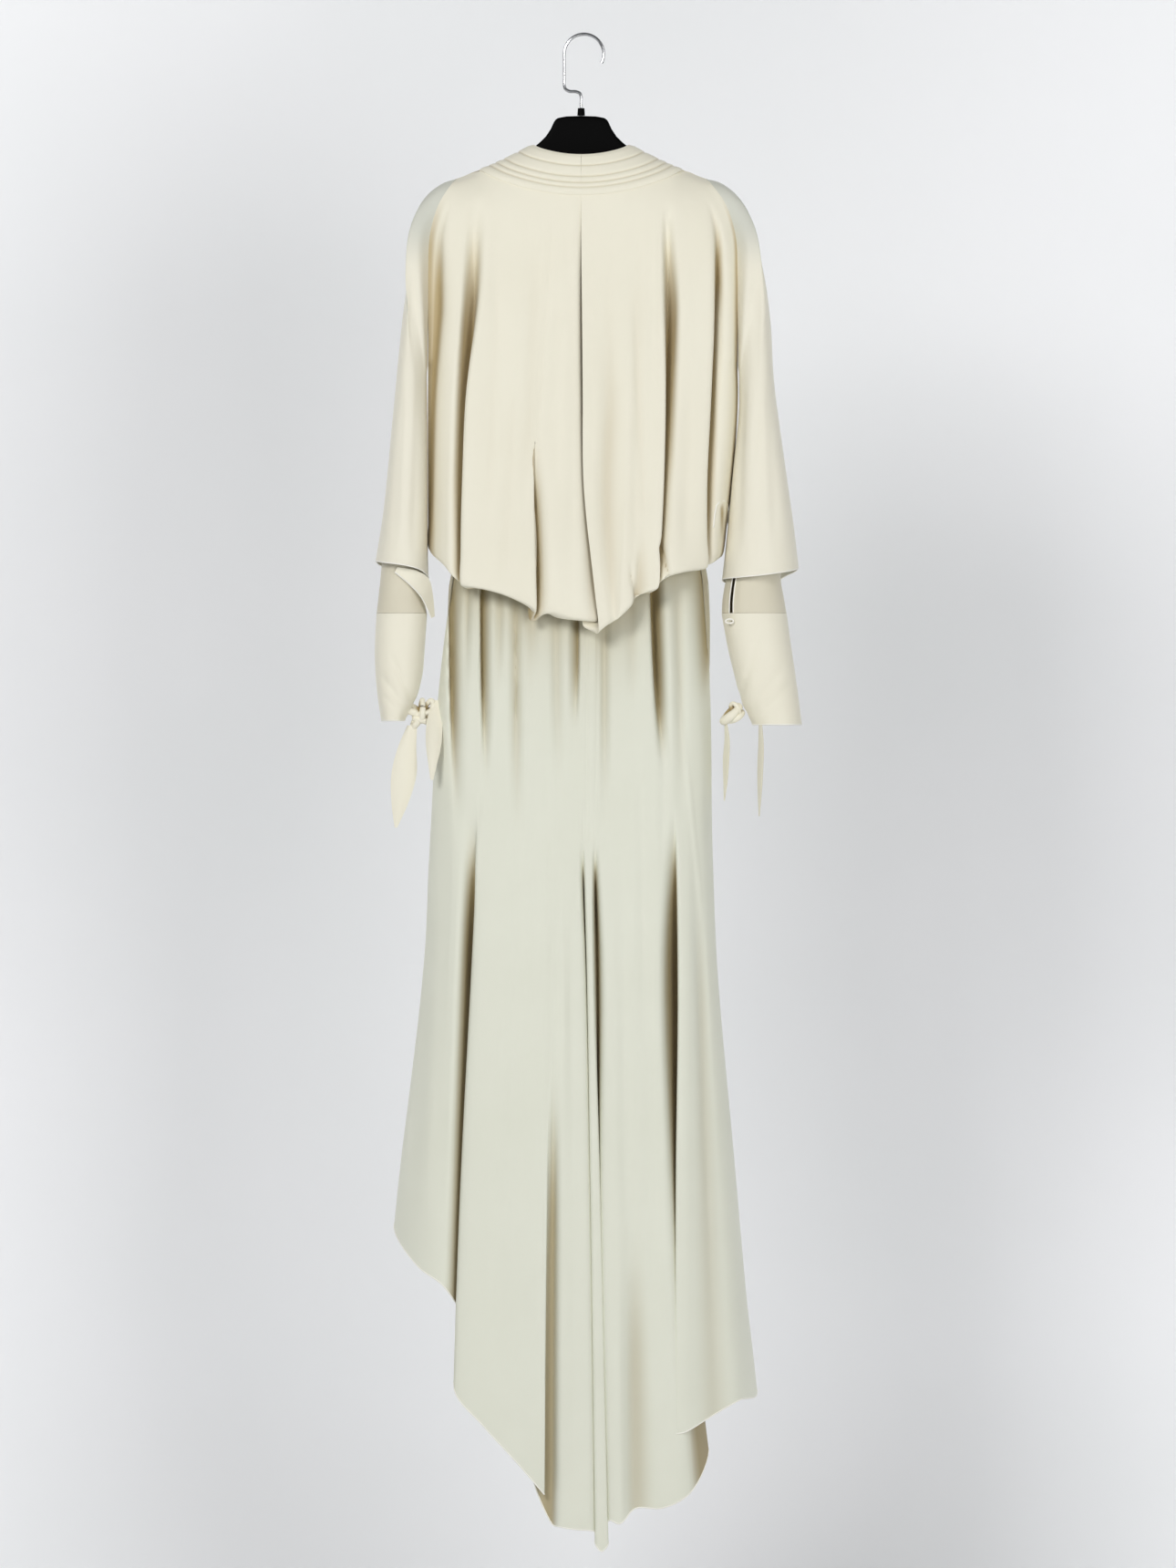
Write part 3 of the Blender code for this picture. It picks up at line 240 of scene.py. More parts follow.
def rounds(path, radius, sides=12, closed=False):
    """Points and faces of a round tube along a path: each ring is radius times (cos a) times
    the side direction plus (sin a) times the upward one, both square to the path."""
    path = np.asarray(path, float)
    if closed:
        along = unit(np.roll(path, -1, axis=0) - np.roll(path, 1, axis=0))
    else:
        along = unit(np.gradient(path, axis=0))
    side = unit(np.cross(along, (0.0, 0.3, 1.0)))
    up = np.cross(side, along)
    turn = np.linspace(0, 2 * np.pi, sides, endpoint=False)[None, :, None]
    radius = np.broadcast_to(np.asarray(radius, float), (len(path),))[:, None, None]
    rings = path[:, None] + radius * (np.cos(turn) * side[:, None] + np.sin(turn) * up[:, None])
    n, c = len(path), np.arange(sides)[None, :]
    d = (c + 1) % sides
    k = np.arange(n if closed else n - 1)[:, None]
    j = (k + 1) % n
    faces = np.stack([k * sides + c, k * sides + d, j * sides + d, j * sides + c], axis=-1).reshape(-1, 4)
    points = rings.reshape(-1, 3)
    faces = faces.tolist()
    if not closed:
        points = np.concatenate([points, path[:1], path[-1:]])
        first, last = n * sides, n * sides + 1
        faces += [(int(b), int(a), first) for a, b in zip(c[0], d[0])]
        faces += [((n - 1) * sides + int(a), (n - 1) * sides + int(b), last) for a, b in zip(c[0], d[0])]
    return points, faces


def tube(name, path, radius, material, sides=12, closed=False):
    """A round tube along a path as one piece."""
    return mesh_piece(name, *rounds(path, radius, sides, closed), material)


def moulded_black():
    """Black polystyrene from a fine-textured mould: low sheen with a faint orange peel."""
    made, tree, shader = finish("moulded black polystyrene", {
        "Base Color": linear("#020202"), "Roughness": 0.55, "Specular IOR Level": 0.04, "IOR": 1.59})
    at = node(tree, "ShaderNodeTexCoord")
    peel = node(tree, "ShaderNodeTexNoise", [(at, "Object", "Vector")], scale=900.0, detail=3.0)
    bump = node(tree, "ShaderNodeBump", [(peel, "Fac", "Height")], strength=0.25, distance=0.0002)
    tree.links.new(bump.outputs["Normal"], shader.inputs["Normal"])
    return made


def plated_wire():
    """Steel wire, drawn and plated bright: a mirror that fine wear dulls here and there."""
    made, tree, shader = finish("plated steel wire", {"Base Color": linear("#C9CACC"), "Metallic": 1.0})
    at = node(tree, "ShaderNodeTexCoord")
    wear = node(tree, "ShaderNodeTexNoise", [(at, "Object", "Vector")], scale=300.0, detail=4.0)
    rough = node(tree, "ShaderNodeMapRange", [(wear, "Fac", "Value")], to_min=0.14, to_max=0.3)
    tree.links.new(rough.outputs["Result"], shader.inputs["Roughness"])
    return made


black = moulded_black()
steel = plated_wire()
reach = np.concatenate([np.linspace(0, 60, 31), np.linspace(64, ARM_END, 40)])
reach = np.concatenate([-reach[:0:-1], reach])
out = np.abs(reach)
under = (shoulder_z(MIDDLE_X + reach) - CLOTH / 2 - SEAM - ARM_LOW
         - ARM_DROOP * ease((out - 90.0) / 70.0))
head = np.interp(out, HANGER_OUT, HANGER_TOP)
top = np.where(out < ARM_START, head, np.minimum(under, head))
low = np.where(out < HANGER_WIDE, HANGER_FOOT - 8 * (out / HANGER_WIDE) ** 2, top - ARM_HEIGHT)
low = np.minimum(low, top - ARM_LEAST)
end = np.sqrt(np.clip(1 - (out / ARM_END) ** 40, 0.02, 1))
turn = np.linspace(0, 2 * np.pi, RING, endpoint=False)
round_y, round_z = (np.sign(wave) * np.abs(wave) ** 0.5 for wave in (np.cos(turn), np.sin(turn)))
middle, half = (top + low) / 2, (top - low) / 2
body = np.stack([np.repeat(MIDDLE_X + reach[:, None], RING, 1), HANGER_THICK / 2 * end[:, None] * round_y,
                 middle[:, None] + (half * end)[:, None] * round_z], axis=2)
last = (len(reach) - 1) * RING
k, c = np.arange(0, last, RING)[:, None], np.arange(RING)[None, :]
d = (c + 1) % RING
faces = np.stack([k + c, k + d, k + RING + d, k + RING + c], -1).reshape(-1, 4).tolist()
faces += [tuple(range(RING))[::-1], tuple(range(last, last + RING))]
hanger = mesh_piece("hanger_arms", body.reshape(-1, 3), faces, black)
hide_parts("hanger_body")
stub = bpy.data.objects["hanger_stub"].data
stub.materials.clear()
stub.materials.append(black)

rise = WIRE / 2 - HOOK_RADIUS
arc = [(HOOK_X + HOOK_RADIUS * np.cos(a), rise + HOOK_RADIUS * np.sin(a))
       for a in np.radians(np.linspace(-28, 180, 60))]
leg_x = HOOK_X - HOOK_RADIUS
bend = np.array([(leg_x, -25), (leg_x, -40), (leg_x, -54), (leg_x, -61), (leg_x + 1.6, -66.2),
                 (leg_x + 6, -68.8), (-10, -69.6), (-5.6, -71.5), (MIDDLE_X, -76), (MIDDLE_X, -82),
                 (MIDDLE_X, -89.7)])
bend_run = run_of(bend)
bend_at = np.linspace(0, bend_run[-1], 60)[1:]
route = arc + list(zip(*(smooth(bend_at, bend_run, bend[:, k]) for k in (0, 1))))
hook = tube("wire_hook", [(x, 0.0, z) for x, z in route], WIRE / 2, steel, sides=16)
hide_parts("hook")


# The blouse: two back halves and a front in heavy silk crepe, cut full. They hang from the
# neck band and the shoulder seams in long folds, and their lower edge turns under to the waist.
BAND_HALF = 126.0          # half the neck band's width at its lower edge
UNDERARM_Z = -410.0
ARMHOLE_OUT = {-1: 190.0, 1: 194.0}
ARMHOLE_DEPTH = 28.0
ARMHOLE_GROOVE = 0.65      # the share of that depth which the crease below the arm takes
WAIST_Z = -555.0
WAIST_LEFT, WAIST_RIGHT = -146.0, 137.0
WAIST_BACK, WAIST_FRONT = 35.0, 33.0
# The blouse's last points inside: how far out from the waist seam, how far above it
WAIST_STEPS = ((6.5, -9.0), (5.5, SEAM + CLOTH / 2), (-2.5, SEAM + CLOTH / 2))
FOLD_RUN = 150.0           # the length over which a fold deepens
SETTLE_RUN = 60.0          # how far below the arm its edge settles to the side seam
ROLL = 3.5
ROLL_IN = 13.0
THIN = 0.8                 # the silk itself, with its turned edges
HEM = 0.9                  # half the width of a narrow rolled hem
BLOUSE_DEEP = 12.0         # a fold this deep shows the full painted shade
# Heights, and how far the blouse's back and front stand from the middle plane there
BLOUSE_HEIGHTS = (-180.0, -410.0, -555.0, -693.0, -745.0)
BLOUSE_BACK = (34.0, 38.0, 52.0, 76.0, 80.0)
BLOUSE_FRONT = (30.0, 34.0, 48.0, 68.0, 70.0)
SHOULDER_POINT_Z = -177.0
BLOUSE_LEVELS = (-224.0, -331.0, -444.0, -557.0, -693.0)     # where a fold line's x is given

# One row for each fold line: name, x at the top, x at the five levels, how far it is tucked
# in, the height where the tuck starts, the height of the lower edge
BACK_LEFT_FOLDS = (
    ("side seam",     -159, (-180, -192, -194, -194, -193),  0, -200, -640),
    ("arm valley",    -155, (-173, -181, -188, -190, -190), 14, -200, -646),
    ("strip start",   -151, (-168, -172, -181, -184, -186),  3, -200, -651),
    ("strip crest",   -146, (-159, -160, -169, -173, -175),  0, -200, -661),
    ("strip end",     -137, (-146, -152, -160, -163, -164),  1, -200, -674),
    ("long valley",   -127, (-134, -137, -141, -144, -147), 26, -200, -688),
    ("main start",    -117, (-121, -129, -146, -151, -153), -1, -200, -686),
    ("main left",      -97, (-105, -108, -114, -120, -125),  0, -200, -690),
    ("main middle",    -75, (-73, -76, -80, -86, -90),      -1, -200, -701),
    ("tuck start",     -53, (-54, -56, -60, -62, -60),      -3, -520, -717),
    ("tuck valley",    -46, (-45, -47, -51, -66, -68),      30, -510, -728),
    ("tuck end",       -39, (-36, -39, -42, -48, -45),      -1, -520, -719),
    ("main right",     -21, (-21, -24, -26, -26, -18),      -2, -300, -725),
    ("slit bed",        -9, (-9, -9, -8, -7, -2),            0, -180, -728),
    ("slit left",       -4, (-3, -2, -1, 2, 13),             8, -180, -729),
)
BACK_RIGHT_FOLDS = (
    ("slit right",      -4, (-4, -3, -2, -1, 13),           -3, -245, -744),
    ("flap",            16, (16, 16, 16, 12, 24),           -2, -300, -737),
    ("soft valley",     33, (32, 33, 35, 29, 35),            3, -350, -731),
    ("flap crest",      50, (54, 55, 55, 53, 46),           -3, -350, -725),
    ("flap right",      63, (67, 67, 67, 67, 59),            0, -350, -712),
    ("pleat valley",    78, (80, 82, 82, 78, 66),           14, -600, -699),
    ("pleat lip",       92, (94, 97, 100, 98, 91),          -3, -300, -690),
    ("pleat deep",     101, (102, 104, 98, 90, 82),         25, -200, -694),
    ("side lip",       110, (112, 117, 115, 110, 101),      -1, -200, -676),
    ("side middle",    124, (131, 136, 136, 132, 126),      -1, -200, -668),
    ("side edge",      135, (153, 160, 157, 152, 153),      -1, -200, -664),
    ("arm valley",     140, (160, 160, 150, 143, 143),      22, -200, -662),
    ("arm lip",        144, (166, 173, 170, 163, 157),       3, -200, -658),
    ("arm strip",      148, (172, 182, 182, 174, 161),       0, -200, -652),
    ("side seam",      151, (176, 189, 191, 183, 165),       0, -200, -648),
)
FRONT_FOLDS = (
    BACK_RIGHT_FOLDS[-1],
    ("right corner",   142, (166, 178, 177, 171, 154),       0, -200, -656),
    ("right side",     123, (146, 158, 156, 148, 140),       0, -200, -660),
    ("right valley",   112, (120, 126, 124, 117, 112),       8, -260, -650),
    ("right crest",     80, (82, 84, 83, 80, 76),            0, -260, -656),
    ("right dip",       45, (45, 46, 44, 42, 40),            4, -260, -660),
    ("middle",          -4, (-4, -4, -4, -5, -5),            0, -260, -664),
    ("left dip",       -50, (-52, -52, -53, -54, -56),       4, -260, -662),
    ("left crest",     -88, (-90, -91, -93, -95, -98),       0, -260, -660),
    ("left valley",   -120, (-128, -132, -134, -135, -137),  8, -260, -656),
    ("left side",     -131, (-150, -160, -162, -162, -160),  0, -200, -650),
    ("left corner",   -150, (-170, -181, -183, -182, -180),  0, -200, -645),
    BACK_LEFT_FOLDS[0],
)
BACK_BAND = (-198.0, 30.0)
FRONT_BAND = (-252.0, 84.0)
ARM_ROWS, BODY_ROWS = 9, 7
ARM_TURNS = np.linspace(0.0, np.pi, ARM_ROWS)
ACROSS = 8                 # fine steps from one fold line to the next
BLOUSE_DOWN = 5


def through(lines, steps, ring=False):
    """A smooth surface's columns: a centripetal Catmull-Rom curve through the points of each
    row, with that many steps from each line to the next. lines is (rows, lines, 3)."""
    if ring:
        p = np.concatenate([lines[:, -1:], lines, lines[:, :2]], axis=1)
    else:
        before, after = 2 * lines[:, :1] - lines[:, 1:2], 2 * lines[:, -1:] - lines[:, -2:-1]
        p = np.concatenate([before, lines, after], axis=1)
    p0, p1, p2, p3 = (p[:, j:p.shape[1] - 3 + j, None] for j in range(4))
    t1 = np.sqrt(np.linalg.norm(p1 - p0, axis=-1, keepdims=True) + 1e-6)
    t2 = t1 + np.sqrt(np.linalg.norm(p2 - p1, axis=-1, keepdims=True) + 1e-6)
    t3 = t2 + np.sqrt(np.linalg.norm(p3 - p2, axis=-1, keepdims=True) + 1e-6)
    t = t1 + (t2 - t1) * (np.arange(steps) / steps)[None, None, :, None]
    a1 = p0 + (p1 - p0) * t / t1
    a2 = p1 + (p2 - p1) * (t - t1) / (t2 - t1)
    a3 = p2 + (p3 - p2) * (t - t2) / (t3 - t2)
    b1 = a1 + (a2 - a1) * t / t2
    b2 = a2 + (a3 - a2) * (t - t1) / (t3 - t1)
    made = (b1 + (b2 - b1) * (t - t1) / (t2 - t1)).reshape(lines.shape[0], -1, 3)
    return made if ring else np.concatenate([made, lines[:, -1:]], axis=1)


def fine(net, down, ring=False):
    """The cloth's fine surface through a net of fold lines, smooth both ways."""
    wide = through(net, ACROSS, ring)
    return np.swapaxes(through(np.swapaxes(wide, 0, 1), down), 0, 1)


def outward(grid, ring):
    """Outward normals of a grid whose rows go down and whose columns go round the back."""
    across = np.roll(grid, -1, axis=1) - np.roll(grid, 1, axis=1) if ring else np.gradient(grid, axis=1)
    return unit(np.cross(np.gradient(grid, axis=0), across))


def creased(grid, rows, ring=False):
    """Soft troughs pressed along the normal: depth times exp(-(distance / half width) squared),
    fading at both ends. A depth below zero raises a ridge."""
    out = outward(grid, ring)
    x, z = grid[..., 0], grid[..., 2]
    shift = np.zeros_like(x)
    for x1, z1, x2, z2, half, deep in rows:
        run = np.array([x2 - x1, z2 - z1], float)
        long = np.hypot(*run)
        along = ((x - x1) * run[0] + (z - z1) * run[1]) / long ** 2
        aside = ((x - x1) * run[1] - (z - z1) * run[0]) / long
        fade = ease(along * 3 + 0.3) * ease((1 - along) * 3 + 0.3)
        shift += deep * fade * np.exp(-(aside / half) ** 2)
    return grid - out * shift[..., None]


def shade_of(grid, flat, full):
    """How deep the cloth lies in its folds, from 0 to 1, used as painted shade: its distance inwards
    from the same cloth without them, over the depth that shows the full painted shade."""
    return ease((np.abs(flat[..., 1]) - np.abs(grid[..., 1])) / full)


def shell(name, grid, material, ring=False, thick=THIN, shade=None, inside=0.6):
    """A thin closed sheet on both sides of a grid. Its UV map is the cloth laid flat: the
    distance across and down the piece, in metres. Its painted shade is kept at each point, and its
    inner face has at least the painted shade inside."""
    rows, cols = grid.shape[:2]
    half = outward(grid, ring) * thick / 2
    points = np.concatenate([(grid + half).reshape(-1, 3), (grid - half).reshape(-1, 3)])
    r = np.arange(rows - 1)[:, None]
    c = np.arange(cols if ring else cols - 1)[None, :]
    d = (c + 1) % cols
    face = np.stack([r * cols + c, (r + 1) * cols + c, (r + 1) * cols + d, r * cols + d], -1).reshape(-1, 4)
    closed = np.concatenate([grid, grid[:, :1]], axis=1) if ring else grid
    width = np.zeros(closed.shape[:2])
    width[:, 1:] = np.cumsum(np.linalg.norm(np.diff(closed, axis=1), axis=2), axis=1)
    length = np.zeros(closed.shape[:2])
    length[1:] = np.cumsum(np.linalg.norm(np.diff(closed, axis=0), axis=2), axis=0)
    flat = np.stack([width, length], -1)
    corner = np.stack([flat[:-1, :-1], flat[1:, :-1], flat[1:, 1:], flat[:-1, 1:]], 2).reshape(-1, 4, 2)
    inner = rows * cols
    c, d = c.ravel(), np.atleast_1d(d.ravel())
    low, low_d = (rows - 1) * cols + c, (rows - 1) * cols + d
    rims = [np.stack([c, d, inner + d, inner + c], -1),
            np.stack([low, inner + low, inner + low_d, low_d], -1)]
    if not ring:
        a = np.arange(rows - 1) * cols
        b, e = a + cols, a + cols - 1
        f = b + cols - 1
        rims += [np.stack([a, inner + a, inner + b, b], -1), np.stack([e, f, inner + f, inner + e], -1)]
    rims = np.concatenate(rims)
    faces = np.concatenate([face, face[:, ::-1] + inner, rims]).tolist()
    uv = np.concatenate([corner, corner[:, ::-1], np.zeros((len(rims), 4, 2))])
    shade = np.zeros((rows, cols)) if shade is None else shade
    return mesh_piece(name, points, faces, material, uv,
                      np.concatenate([shade.ravel(), np.maximum(shade, inside).ravel()]))


def silk_crepe(name, light, dull, fold, alpha=1.0):
    """Silk crepe: hard-twisted threads that shrink into a fine pebble, so its shine is broken
    to a soft satin. The grain is drawn at 1.2 mm, about three times its real size, to show.
    Its fold attribute mixes in the fold colour: painted shade, brown deep in folds, in gaps and on inner
    faces."""
    made, tree, shader = finish(name, {"Specular IOR Level": 0.35, "Sheen Weight": 0.25,
                                       "Sheen Roughness": 0.4, "IOR": 1.54, "Alpha": alpha})
    at = node(tree, "ShaderNodeTexCoord")
    tone = node(tree, "ShaderNodeTexNoise", [(at, "UV", "Vector")], scale=7.0, detail=3.0)
    mixed = node(tree, "ShaderNodeMix", [(tone, "Fac", 0)], data_type="RGBA")
    mixed.inputs[6].default_value = linear(light)
    mixed.inputs[7].default_value = linear(dull)
    # Painted shade: the fold attribute mixes the colour toward the fold colour
    deep = node(tree, "ShaderNodeAttribute", attribute_name="fold")
    tint = node(tree, "ShaderNodeMix", [(deep, "Fac", 0)], data_type="RGBA")
    tint.inputs[7].default_value = linear(fold)
    tree.links.new(mixed.outputs[2], tint.inputs[6])
    tree.links.new(tint.outputs[2], shader.inputs["Base Color"])
    grain = node(tree, "ShaderNodeTexNoise", [(at, "UV", "Vector")], scale=830.0, detail=2.0)
    gloss = node(tree, "ShaderNodeMapRange", [(grain, "Fac", "Value")], to_min=0.48, to_max=0.68)
    bump = node(tree, "ShaderNodeBump", [(grain, "Fac", "Height")], strength=0.35, distance=0.0004)
    tree.links.new(gloss.outputs["Result"], shader.inputs["Roughness"])
    tree.links.new(bump.outputs["Normal"], shader.inputs["Normal"])
    return made


def band_z(x, drop, rise):
    """Height of the neck band's lower edge: drop plus rise times the square of x's share."""
    return drop + rise * (np.abs(x - MIDDLE_X) / BAND_HALF) ** 2


def depth(x, z, heights, values):
    """How far the blouse stands from the middle plane: a quarter ellipse over the shoulder
    that opens into the depth for that height."""
    fall = np.clip((shoulder_z(x) - z) / 90.0, 0.0, 1.0)
    return smooth(z, heights, values) * np.sqrt(1 - (1 - fall) ** 2)


def armhole(turn, side):
    """A point of the armhole by its turn from the shoulder point, 0, to the underarm, pi,
    as x, how far it lies from the middle plane, and z."""
    top_z = shoulder_z(MIDDLE_X + SHOULDER_RUN + NECK_HALF)
    z = (top_z + UNDERARM_Z) / 2 + (top_z - UNDERARM_Z) / 2 * np.cos(turn)
    away = ARMHOLE_OUT[side]
    reach = away - (away - SHOULDER_RUN - NECK_HALF) * np.clip(np.cos(turn), 0, 1) ** 3
    groove = 1 - ARMHOLE_GROOVE * ease((turn - 0.5) / 1.2)
    return MIDDLE_X + side * reach, ARMHOLE_DEPTH * groove * np.abs(np.sin(turn)) ** 0.8, z


def waist(share, front):
    """A point of the waist seam, by its share of the way from left to right: a rounded
    rectangle, depth times the root of (1 - xi to the fourth)."""
    xi = 2 * share - 1
    half = WAIST_FRONT if front else -WAIST_BACK
    return ((WAIST_LEFT + WAIST_RIGHT) / 2 + (WAIST_RIGHT - WAIST_LEFT) / 2 * xi,
            half * np.sqrt(np.clip(1 - xi**4, 0, 1)))


def waist_edge(share, front, away, rise):
    """A point beside the waist seam: away from it outwards and rise above it."""
    x, y = waist(share, front)
    ends = [waist(np.clip(share + step, 0.0, 1.0), front) for step in (-0.01, 0.01)]
    along = np.array([ends[1][0] - ends[0][0], ends[1][1] - ends[0][1]])
    along /= np.linalg.norm(along)
    if share in (0.0, 1.0):
        along = np.array([0.0, 1.0 if (share == 1.0) != front else -1.0])
    sign = -1.0 if front else 1.0
    return np.array([x + sign * along[1] * away, y - sign * along[0] * away, WAIST_Z + rise])


def blouse(folds, front, band, flat=False):
    """Rows of points on the blouse's fold lines: over the shoulder, down to the lower edge,
    round the roll there and back up inside to the waist seam. Each stands out by its depth
    times the root of (1 - xi to the sixth), less its tuck, which eases off near the edge."""
    side = 1.0 if front else -1.0
    heights = BLOUSE_FRONT if front else BLOUSE_BACK
    down = (1 - np.cos(ARM_TURNS)) / 2
    lines = []
    for name, top_x, xs, tuck, starts, hem in folds:
        edge = name == "side seam"
        hand = 1 if top_x > 0 else -1
        within = abs(top_x - MIDDLE_X) < BAND_HALF
        top = float(band_z(top_x, *band)) if within else float(shoulder_z(top_x))
        z = np.concatenate([top + (UNDERARM_Z - top) * down,
                            UNDERARM_Z + (hem + ROLL - UNDERARM_Z) * np.linspace(0, 1, BODY_ROWS + 1)[1:]])
        if edge:
            z[:ARM_ROWS] = armhole(ARM_TURNS, hand)[2]
        x = smooth(z, (top,) + BLOUSE_LEVELS, (top_x,) + xs)
        opening = armhole(ARM_TURNS, hand)
        turn = np.arccos(np.clip((z - UNDERARM_Z) / (opening[2][0] - UNDERARM_Z) * 2 - 1, -1, 1))
        side_y = np.where(z > UNDERARM_Z, armhole(turn, hand)[1], 0.0)
        if edge:
            x[:ARM_ROWS] = opening[0]
            settle = ease((UNDERARM_Z - z[ARM_ROWS:]) / SETTLE_RUN)
            x[ARM_ROWS:] = opening[0][-1] + (x[ARM_ROWS:] - opening[0][-1]) * settle
        left, right = (smooth(z, (SHOULDER_POINT_Z,) + BLOUSE_LEVELS, (row[1],) + row[2])
                       for row in (BACK_LEFT_FOLDS[0], BACK_RIGHT_FOLDS[-1]))
        xi = np.clip((x - (left + right) / 2) / ((right - left) / 2), -1, 1)
        full = depth(x, z, BLOUSE_HEIGHTS, heights)
        y = side_y + np.maximum(full - side_y, 0) * np.sqrt(1 - xi**6)
        if edge:
            y = side_y
        fold = ease((starts - z) / FOLD_RUN) * (1 - 0.45 * ease((hem + 60 - z) / 50.0))
        y = y - (0 if flat else tuck) * fold
        y = np.where(np.arange(len(z)) == 0, np.maximum(y, SEAM / 2), y)
        points = np.stack([x, side * y, z], axis=1)

        far_left, far_right = BACK_LEFT_FOLDS[0][2][2], BACK_RIGHT_FOLDS[-1][2][2]
        share = (xs[2] - far_left) / (far_right - far_left)
        across = 2 * share - 1
        low_z = z[-1]
        low_half = float(smooth(low_z, BLOUSE_HEIGHTS, heights)) - ROLL_IN
        low_middle, low_wide = (left[-1] + right[-1]) / 2, (right[-1] - left[-1]) / 2 - ROLL_IN
        turned_x = xs[-1] if name.startswith("slit") else low_middle + low_wide * across
        turned = np.array([turned_x, side * low_half * np.sqrt(1 - across**4), low_z])
        base = points[-1]
        roll = [base + (turned - base) * t - (0, 0, ROLL * 0.9) for t in (0.22, 0.7)]
        near, beside, over = (waist_edge(share, front, away, rise) for away, rise in WAIST_STEPS)
        lines.append(np.vstack([points, roll, turned, turned * 0.45 + near * 0.55, near, beside, over]))
    return np.stack(lines, axis=1)


def top_row(row, front, band):
    """A panel's top row, set on the neck band's lower edge and, past the band's end, on its
    own side of the shoulder seam."""
    x, y, z = row.T
    within = np.abs(x - MIDDLE_X) < BAND_HALF
    z = np.where(within, band_z(x, *band), z)
    y = np.where(within, depth(x, z, BLOUSE_HEIGHTS, BLOUSE_FRONT if front else BLOUSE_BACK), np.abs(y))
    y = np.maximum(y, SEAM / 2)
    return np.stack([x, y if front else -y, z], axis=1)


# Softer folds of the blouse: x and z of one end, x and z of the other, half width, depth
BACK_CREASES = (
    (-60, -250, -78, -690,  11, 2.4),
    (-30, -330, -34, -560,   9, 1.6),
    (-86, -420, -100, -690,  9, 2.0),
    (-14, -260, -16, -700,   8, 1.6),
    (32,  -260, 24, -720,   10, 1.6),
    (50,  -420, 40, -700,    8, 1.3),
    (70,  -250, 60, -640,    8, 1.6),
    (118, -260, 116, -600,  10, 2.4),
    (130, -420, 124, -640,   8, 2.2),
    (-108, -260, -118, -600, 7, 1.4),
    (-146, -300, -160, -600, 5, 1.6),
    (93, -630, 106, -684, 3, 3.2),
    (56, -662, 66, -706, 3, 3.0),
    (110, -300, 106, -560, 4, 1.2),
    (60, -300, 76, -640, 4, 1.0),
    (-40, -240, -60, -520, 4, 0.9),
)
FRONT_CREASES = (
    (-40, -300, -50, -650, 5, 3.4),
    (40, -320, 50, -650, 5, 3.4),
    (82, -260, 92, -640, 6, 4.0),
    (-88, -270, -100, -640, 6, 4.2),
    (4, -380, 2, -655, 6, 3.6),
    (124, -300, 128, -620, 5, 3.0),
    (-140, -300, -146, -620, 5, 3.0),
    (60, -300, 64, -640, 10, 3.0),
    (-20, -290, -24, -650, 10, 2.6),
    (-66, -300, -74, -640, 10, 3.0),
    (100, -300, 102, -620, 8, 2.6),
    (-108, -300, -118, -630, 8, 2.6),
    (22, -290, 20, -650, 9, 2.2),
)
CURL = ((160, -612), (161.5, -596), (163.5, -585), (168, -579), (173, -578.5), (177.5, -583),
        (179.5, -594), (179, -606))     # x and z along the edge that curls up beside the right arm
CURL_PAINTED_GAP_X = 170.5         # where a dark gap is painted inside that edge as shade

# Each crepe's last colour is the brown of its painted shade
hem_silk = silk_crepe("ivory silk crepe, hem edge", "#FBF9F0", "#F6F3E8", "#B8A47C")
bodice_silk = silk_crepe("ivory silk crepe, bodice", "#F2EEDC", "#ECE7D3", "#AD9869")


def blouse_painted_shade(name, grid, plain):
    """How much painted shade each point takes. It grows with the fold's depth, beside the arms and
    from the shoulder blades down. A narrow line of painted shade follows the side seam, and a painted dark
    gap lies in the curl."""
    x, z = grid[..., 0], grid[..., 2]
    grown = np.maximum(ease((np.abs(x - MIDDLE_X) - 145) / 15), ease((-215 - z) / 170))
    tone = 0.9 * shade_of(grid, plain, BLOUSE_DEEP) * grown
    if name == "front_bodice":
        return tone
    if name == "back_right":
        tone = tone * (1 - ease((x - 161) / 6) * ease((-300 - z) / 60))
        # Painted shade: a dark gap inside the curled edge
        gap = np.exp(-((x - CURL_PAINTED_GAP_X) / 2.2) ** 2) * ease((-582 - z) / 8) * ease((z + 640) / 50)
        tone = np.maximum(tone, gap)
    # Painted shade in a narrow line along the side seam, between the blouse and the sleeve
    seam_x, wide = (x[:, :1], 9.0) if name == "back_left" else (x[:, -1:], 4.0)
    line = ease(1.3 - np.abs(x - seam_x) / wide) * ease((-190 - z) / 80)
    return np.maximum(tone, 0.8 * line)


def cloth(name, grid, silk, slot="silk_crepe", **form):
    """One sewn piece as a thin sheet on its grid, in the place of the solid of that name."""
    made = shell("cloth_" + name, grid, silk, **form)
    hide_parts(name)
    return made


def rolled_edge(name, path, radius=HEM, closed=False):
    """A narrow hem, rolled and stitched by hand: a round tube along the cloth's edge."""
    made = tube(name, path, radius, hem_silk, sides=8, closed=closed)
    return made


